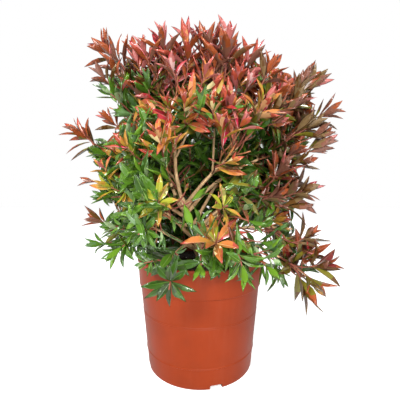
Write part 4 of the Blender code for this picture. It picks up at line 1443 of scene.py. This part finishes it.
    def front_shoot(self, shoot, limb):
        """A shoot that shows from the front: its stem from the bough, the stem's leaves, and its tuft."""
        wanted = shoot.foot - shoot.way * STEM_LENGTH
        share = min((0.45 + 0.5 * step / 8 for step in range(9)), key=lambda t: (limb.at(t)[0] - wanted).length)
        base, heading, _ = limb.at(share)
        leave = (heading + (shoot.foot - base).normalized()).normalized()
        path = twig_path(base, leave, shoot.foot, shoot.way)
        flush = 0.0 if shoot.spread > STAR_SPREAD else 0.45
        self.stem_leaves(path, 0.15, 0.0060, flush, shoot.ways if flush else COLOURINGS["green"])
        stretch = self.settings.length * shoot.size * TUFT_STRETCH * shoot.leaves
        path.append(shoot.foot + shoot.way * stretch)
        self.add_twig(path, 0.0015, 0.0009, 2)
        self.tuft(shoot.foot, shoot.way, shoot.leaves, shoot.spread, shoot.size, shoot.ways, True)


def grow_mass(mass, masses, limb, front, settings, seed):
    """All twigs and leaves of one mass: front shoots, the rule's shoots, and leaves along the bough."""
    rng = random.Random(1000 + seed)
    spray = Spray(masses, front, settings, rng)
    facing = crown_outward(mass.middle)
    spray.add_twig(smoothed(limb, 2).points[-6:], 0.0017, 0.0014, 0)
    spray.leafy_bough(limb, 0.20 if "low" in mass.name else 0.36)
    for shoot in front:
        if shoot.mass is mass:
            spray.front_shoot(shoot, limb)
    shoots = SPARSE.get(mass.name, SHOOTS)
    side_shoots = 1 if mass.name in SPARSE else settings.side_shoots
    for index in range(shoots):
        base, along, _ = limb.at(0.97 - 0.42 * index / (SHOOTS - 1))
        away = cap_direction(facing, index, SHOOTS, SHOOT_SPREAD)
        tip = mass.middle + away * mass.radius * SHOOT_REACH * rng.uniform(*SHOOT_SHARES)
        out = (crown_outward(tip) + away / 2).normalized()
        path = twig_path(base, (along + away * 0.7).normalized(), tip, out)
        ways = COLOURINGS[new_colours(tip, rng)]
        flush = 0.85 if tip.z > 0.44 else 0.5
        spread = 48 if tip.z > 0.33 else 70
        leafy = spray.leafy_twig(path, out, 0.0065, flush, spread, 0.95, ways)
        line = Limb(path, [0.001] * len(path))
        for side in range(side_shoots):
            root, along, _ = line.at(0.25 + 0.5 * side / max(1, side_shoots - 1))
            turn = side * GOLDEN_ANGLE * 1.4 + index + rng.uniform(-0.5, 0.5)
            out = around(along, turn, math.radians(rng.uniform(36, 52)))
            side_tip = root + out * mass.radius * rng.uniform(0.40, 0.55)
            if (side_tip - mass.middle).length > mass.radius * 0.60:
                side_tip = mass.middle + (side_tip - mass.middle).normalized() * mass.radius * 0.60
            if not clear_of_pot(side_tip, 0.006):
                continue
            face = (out * 0.7 + crown_outward(side_tip)).normalized()
            side_path = twig_path(root, along, side_tip, face, 5)
            new = side % 2 == 0
            ways = COLOURINGS[new_colours(side_tip, rng) if new or flush > 0.8 else "green"]
            side_leafy = spray.leafy_twig(side_path, face, 0.0068, flush if new else 0.0, spread,
                                          rng.uniform(0.80, 0.95), ways)
            if side_leafy:
                spray.add_twig(side_leafy, 0.0011, 0.0007, 2 if tip.z > 0.3 and new else 1)
                leafy = leafy or path[:-1]
        if leafy:
            spray.add_twig(leafy, 0.0016, 0.0009, 1)
    return spray


def leaf_faces():
    """The faces of one leaf as point numbers, with the part of the colouring that each one takes.

    The parts change further out on the right half than on the left one, so no straight band crosses the leaf."""
    last = len(STATIONS) - 1
    columns = [[2 + POINTS_PER_STATION * i + column for i in range(last + 1)] for column in range(6)]
    left, left_rib, top, right_rib, right, under = columns
    strips = (
        (left, left_rib, (0, 0, 1, 1, 2, 2)),
        (left_rib, top, (5, 5, 5, 5, 5, 2)),
        (top, right_rib, (5, 5, 5, 5, 5, 2)),
        (right_rib, right, (0, 0, 0, 1, 1, 2)),
        (right, under, (3, 3, 3, 3, 4, 4)),
        (under, left, (3, 3, 3, 4, 4, 4)),
    )
    faces = []
    for a, b, parts in strips:
        faces.append(((0, b[0], a[0]), parts[0]))
        for i in range(last):
            faces.append(((a[i], b[i], b[i + 1], a[i + 1]), parts[i + 1]))
        faces.append(((a[last], b[last], 1), parts[-1]))
    return faces


def leaf_points(leaves, thickness=0.00045):
    """Points of all leaves at once: foot, tip, and six points round the section at each station."""
    root, along, up = (np.array([row[i][:] for row in leaves]) for i in range(3))
    length, width, bend, fold, twist = (np.array([row[i] for row in leaves])[:, None] for i in range(3, 8))
    bend = np.where(np.abs(bend) < 0.001, 0.001, bend)
    side = np.cross(along, up)
    points = np.empty((len(leaves), LEAF_POINTS, 3))

    def middle(t):
        return root + along * (length * np.sin(bend * t) / bend) + up * (length * (1 - np.cos(bend * t)) / bend)

    points[:, 0] = root
    points[:, 1] = middle(1.0)
    for i, (t, half) in enumerate(zip(STATIONS, HALF_WIDTHS)):
        over = up * np.cos(bend * t) - along * np.sin(bend * t)
        turned = side * np.cos(twist * t) + over * np.sin(twist * t)
        rise = over * np.cos(twist * t) - side * np.sin(twist * t)
        centre = middle(t)
        spread = width * half / 2
        rib = width * RIB_SHARE * (1.1 - t) / 2
        places = ((-spread, spread * fold), (-rib, rib * fold + 0.0001), (0 * rib, -0.0001 + 0 * rib),
                  (rib, rib * fold + 0.0001), (spread, spread * fold), (0 * rib, -thickness + 0 * rib))
        for column, (across, above) in enumerate(places):
            points[:, 2 + POINTS_PER_STATION * i + column] = centre + turned * across + rise * above
    return points


def leaf_mesh(name, leaves):
    """One mesh of many leaves, from arrays."""
    faces = leaf_faces()
    sizes = np.array([len(corners) for corners, _ in faces])
    corners = np.concatenate([np.array(corners) for corners, _ in faces])
    parts = np.array([part for _, part in faces])
    count = len(leaves)
    points = leaf_points(leaves)
    colours = np.array([row[8] for row in leaves])
    mesh = bpy.data.meshes.new(name)
    mesh.vertices.add(count * LEAF_POINTS)
    mesh.vertices.foreach_set("co", points.astype(np.float32).ravel())
    loops = (corners[None, :] + (np.arange(count) * LEAF_POINTS)[:, None]).astype(np.int32).ravel()
    mesh.loops.add(len(loops))
    mesh.loops.foreach_set("vertex_index", loops)
    all_sizes = np.tile(sizes, count)
    starts = np.concatenate(([0], np.cumsum(all_sizes)[:-1])).astype(np.int32)
    mesh.polygons.add(len(all_sizes))
    mesh.polygons.foreach_set("loop_start", starts)
    mesh.polygons.foreach_set("material_index", colours[:, parts].astype(np.int32).ravel())
    mesh.update(calc_edges=True)
    mesh.shade_smooth()
    mark_sharp_leaf_edges(mesh)
    mesh.validate()
    return mesh


def mark_sharp_leaf_edges(mesh):
    """Keeps each leaf's outline crisp: the edges along its two margins are marked sharp."""
    pairs = np.empty(len(mesh.edges) * 2, dtype=np.int32)
    mesh.edges.foreach_get("vertices", pairs)
    local = pairs.reshape(-1, 2) % LEAF_POINTS - 2
    station = local // POINTS_PER_STATION
    column = np.sort(local % POINTS_PER_STATION, axis=1)
    ends = (local < 0).any(axis=1)
    along_edge = (column[:, 0] == column[:, 1]) & ((column[:, 0] == 0) | (column[:, 0] == 4))
    sharp = ~ends & (station[:, 0] != station[:, 1]) & along_edge
    layer = mesh.attributes.get("sharp_edge") or mesh.attributes.new("sharp_edge", "BOOLEAN", "EDGE")
    layer.data.foreach_set("value", sharp)


def twig_mesh(name, twigs, sides=5):
    """One mesh of many tapering twigs, from arrays, closed at both ends."""
    points = []
    faces = []
    tints = []
    for path, radii, tint in twigs:
        frames = carried_frames(path)
        start = len(points)
        for point, radius, (side, across, _) in zip(path, radii, frames):
            for k in range(sides):
                angle = 2 * math.pi * k / sides
                points.append(point + (side * math.cos(angle) + across * math.sin(angle)) * radius)
        for ring in range(len(path) - 1):
            for k in range(sides):
                a = start + ring * sides + k
                b = start + ring * sides + (k + 1) % sides
                faces.append((a, b, b + sides, a + sides))
                tints.append(tint)
        end = start + (len(path) - 1) * sides
        faces.append(tuple(range(start + sides - 1, start - 1, -1)))
        faces.append(tuple(range(end, end + sides)))
        tints += [tint, tint]
    mesh = bpy.data.meshes.new(name)
    mesh.from_pydata([point[:] for point in points], [], faces)
    mesh.polygons.foreach_set("material_index", np.array(tints, dtype=np.int32))
    mesh.shade_smooth()
    return mesh


def make_foliage(settings):
    """A piece of leaves for every mass, and the twigs of all masses as one piece."""
    tint_materials = []
    for name, colour in TINTS.items():
        tint, _, surface = principled("leaf_" + name, colour, settings.roughness)
        surface.inputs["Specular IOR Level"].default_value = 0.12
        surface.inputs["Coat Weight"].default_value = settings.gloss
        surface.inputs["Coat Roughness"].default_value = 0.20
        tint_materials.append(tint)
    masses, limbs = grown_limbs()
    twigs = []
    front = front_shoots(masses)
    for seed, mass in enumerate(masses):
        spray = grow_mass(mass, masses, limbs[mass.name], front, settings, seed)
        twigs += spray.twigs
        piece = new_object("leaves_" + mass.name, leaf_mesh("leaves_" + mass.name, spray.leaves))
        for mat in tint_materials:
            piece.data.materials.append(mat)
        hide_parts("foliage_" + mass.name)
    piece = new_object("twigs", twig_mesh("twigs", twigs))
    for name, colour in TWIG_TINTS.items():
        piece.data.materials.append(principled(name, colour, 0.6)[0])


# Stage


def area_light(name, place, target, size, power, colour=(1, 1, 1)):
    """A large soft light aimed at a point."""
    light = bpy.data.lights.new(name, "AREA")
    light.shape = "SQUARE"
    light.size = size
    light.energy = power
    light.color = colour
    item = bpy.data.objects.new(name, light)
    item.location = place
    item.rotation_euler = (Vector(target) - Vector(place)).to_track_quat("-Z", "Y").to_euler()
    bpy.context.scene.collection.objects.link(item)


def studio_world(settings):
    """An even white backdrop for the eye, with a softer light from it on the plant."""
    world = bpy.data.worlds.new("studio")
    world.use_nodes = True
    tree = world.node_tree
    light = tree.nodes["Background"]
    light.inputs["Color"].default_value = (1.0, 1.0, 1.0, 1.0)
    light.inputs["Strength"].default_value = settings.ambient
    seen = node(tree, "ShaderNodeBackground")
    seen.inputs["Color"].default_value = (1.0, 1.0, 1.0, 1.0)
    mix = tree.nodes.new("ShaderNodeMixShader")
    tree.links.new(tree.nodes.new("ShaderNodeLightPath").outputs["Is Camera Ray"], mix.inputs["Fac"])
    tree.links.new(light.outputs["Background"], mix.inputs[1])
    tree.links.new(seen.outputs["Background"], mix.inputs[2])
    tree.links.new(mix.outputs["Shader"], tree.nodes["World Output"].inputs["Surface"])
    bpy.context.scene.world = world


def floor_material(settings):
    """A pale floor that looks white to the camera and lights the plant only as a plain floor does."""
    mat, tree, surface = principled("floor", settings.floor_colour, 0.9)
    surface.inputs["Emission Color"].default_value = (1.0, 1.0, 1.0, 1.0)
    glow = node(tree, "ShaderNodeMath", operation="MULTIPLY")
    tree.links.new(tree.nodes.new("ShaderNodeLightPath").outputs["Is Camera Ray"], glow.inputs[0])
    glow.inputs[1].default_value = settings.floor_glow
    tree.links.new(glow.outputs["Value"], surface.inputs["Emission Strength"])
    return mat


def make_stage(settings):
    """Pale floor, soft studio light and the camera."""
    bm = bmesh.new()
    bmesh.ops.create_grid(bm, x_segments=1, y_segments=1, size=4.0)
    floor = bpy.data.objects.new("floor", mesh_of(bm, "floor"))
    floor.data.materials.append(floor_material(settings))
    bpy.context.scene.collection.objects.link(floor)

    studio_world(settings)
    area_light("key", (-0.7, -1.8, 1.6), (0, 0, 0.32), 0.5, 62)
    area_light("fill", (0.4, -2.0, 0.6), (0, 0, 0.30), 0.8, 30)
    area_light("back", (0.3, 1.7, 1.6), (0, 0, 0.35), 1.2, 14)

    camera = bpy.data.cameras.new("camera")
    camera.lens = settings.lens
    camera.sensor_width = 36.0
    camera.sensor_fit = "HORIZONTAL"
    camera.clip_start = 0.01
    item = bpy.data.objects.new("camera", camera)
    item.location = (0.0, -settings.distance, settings.height)
    item.rotation_euler = (math.pi / 2 - settings.tilt, 0.0, 0.0)
    bpy.context.scene.collection.objects.link(item)
    bpy.context.scene.camera = item
    bpy.context.scene.view_settings.view_transform = "Standard"


# Operators and panel


class BuildPot(bpy.types.Operator):
    """Builds the plastic pot."""

    bl_idname = "bottlebrush.pot"
    bl_label = "Pot"

    def execute(self, context):
        make_pot(context.scene.bottlebrush_pot)
        return {"FINISHED"}


class BuildSoil(bpy.types.Operator):
    """Builds the potting soil with its chips and grains."""

    bl_idname = "bottlebrush.soil"
    bl_label = "Soil"

    def execute(self, context):
        make_soil(context.scene.bottlebrush_soil)
        return {"FINISHED"}


class BuildBranches(bpy.types.Operator):
    """Builds the trunk and the boughs."""

    bl_idname = "bottlebrush.branches"
    bl_label = "Trunk and boughs"

    def execute(self, context):
        make_branches(context.scene.bottlebrush_bark)
        return {"FINISHED"}


class BuildFoliage(bpy.types.Operator):
    """Builds the twigs and the leaves."""

    bl_idname = "bottlebrush.foliage"
    bl_label = "Twigs and leaves"

    def execute(self, context):
        make_foliage(context.scene.bottlebrush_leaf)
        return {"FINISHED"}


class BuildStage(bpy.types.Operator):
    """Builds the floor, the light and the camera."""

    bl_idname = "bottlebrush.stage"
    bl_label = "Stage"

    def execute(self, context):
        make_stage(context.scene.bottlebrush_stage)
        return {"FINISHED"}


OPERATORS = (BuildPot, BuildSoil, BuildBranches, BuildFoliage, BuildStage)
SETTINGS = {
    "bottlebrush_pot": PotSettings,
    "bottlebrush_soil": SoilSettings,
    "bottlebrush_bark": BarkSettings,
    "bottlebrush_leaf": LeafSettings,
    "bottlebrush_stage": StageSettings,
}


class BottlebrushPanel(bpy.types.Panel):
    """Lists the settings and the build steps in the sidebar."""

    bl_idname = "VIEW3D_PT_bottlebrush"
    bl_label = "Potted bottlebrush"
    bl_space_type = "VIEW_3D"
    bl_region_type = "UI"
    bl_category = "Bottlebrush"

    def draw(self, context):
        for (name, group), operator in zip(SETTINGS.items(), OPERATORS):
            box = self.layout.box()
            for key in group.__annotations__:
                box.prop(getattr(context.scene, name), key)
            box.operator(operator.bl_idname)


def register():
    """Registers the settings, the operators and the panel."""
    for name, group in SETTINGS.items():
        bpy.utils.register_class(group)
        setattr(bpy.types.Scene, name, PointerProperty(type=group))
    for operator in OPERATORS:
        bpy.utils.register_class(operator)
    bpy.utils.register_class(BottlebrushPanel)


def unregister():
    """Takes back what register adds."""
    bpy.utils.unregister_class(BottlebrushPanel)
    for operator in reversed(OPERATORS):
        bpy.utils.unregister_class(operator)
    for name, group in SETTINGS.items():
        delattr(bpy.types.Scene, name)
        bpy.utils.unregister_class(group)


def main():
    """Builds every piece and the stage."""
    register()
    bpy.ops.bottlebrush.pot()
    bpy.ops.bottlebrush.soil()
    bpy.ops.bottlebrush.branches()
    bpy.ops.bottlebrush.foliage()
    bpy.ops.bottlebrush.stage()
    bpy.context.view_layer.update()


if __name__ == "__main__":
    main()
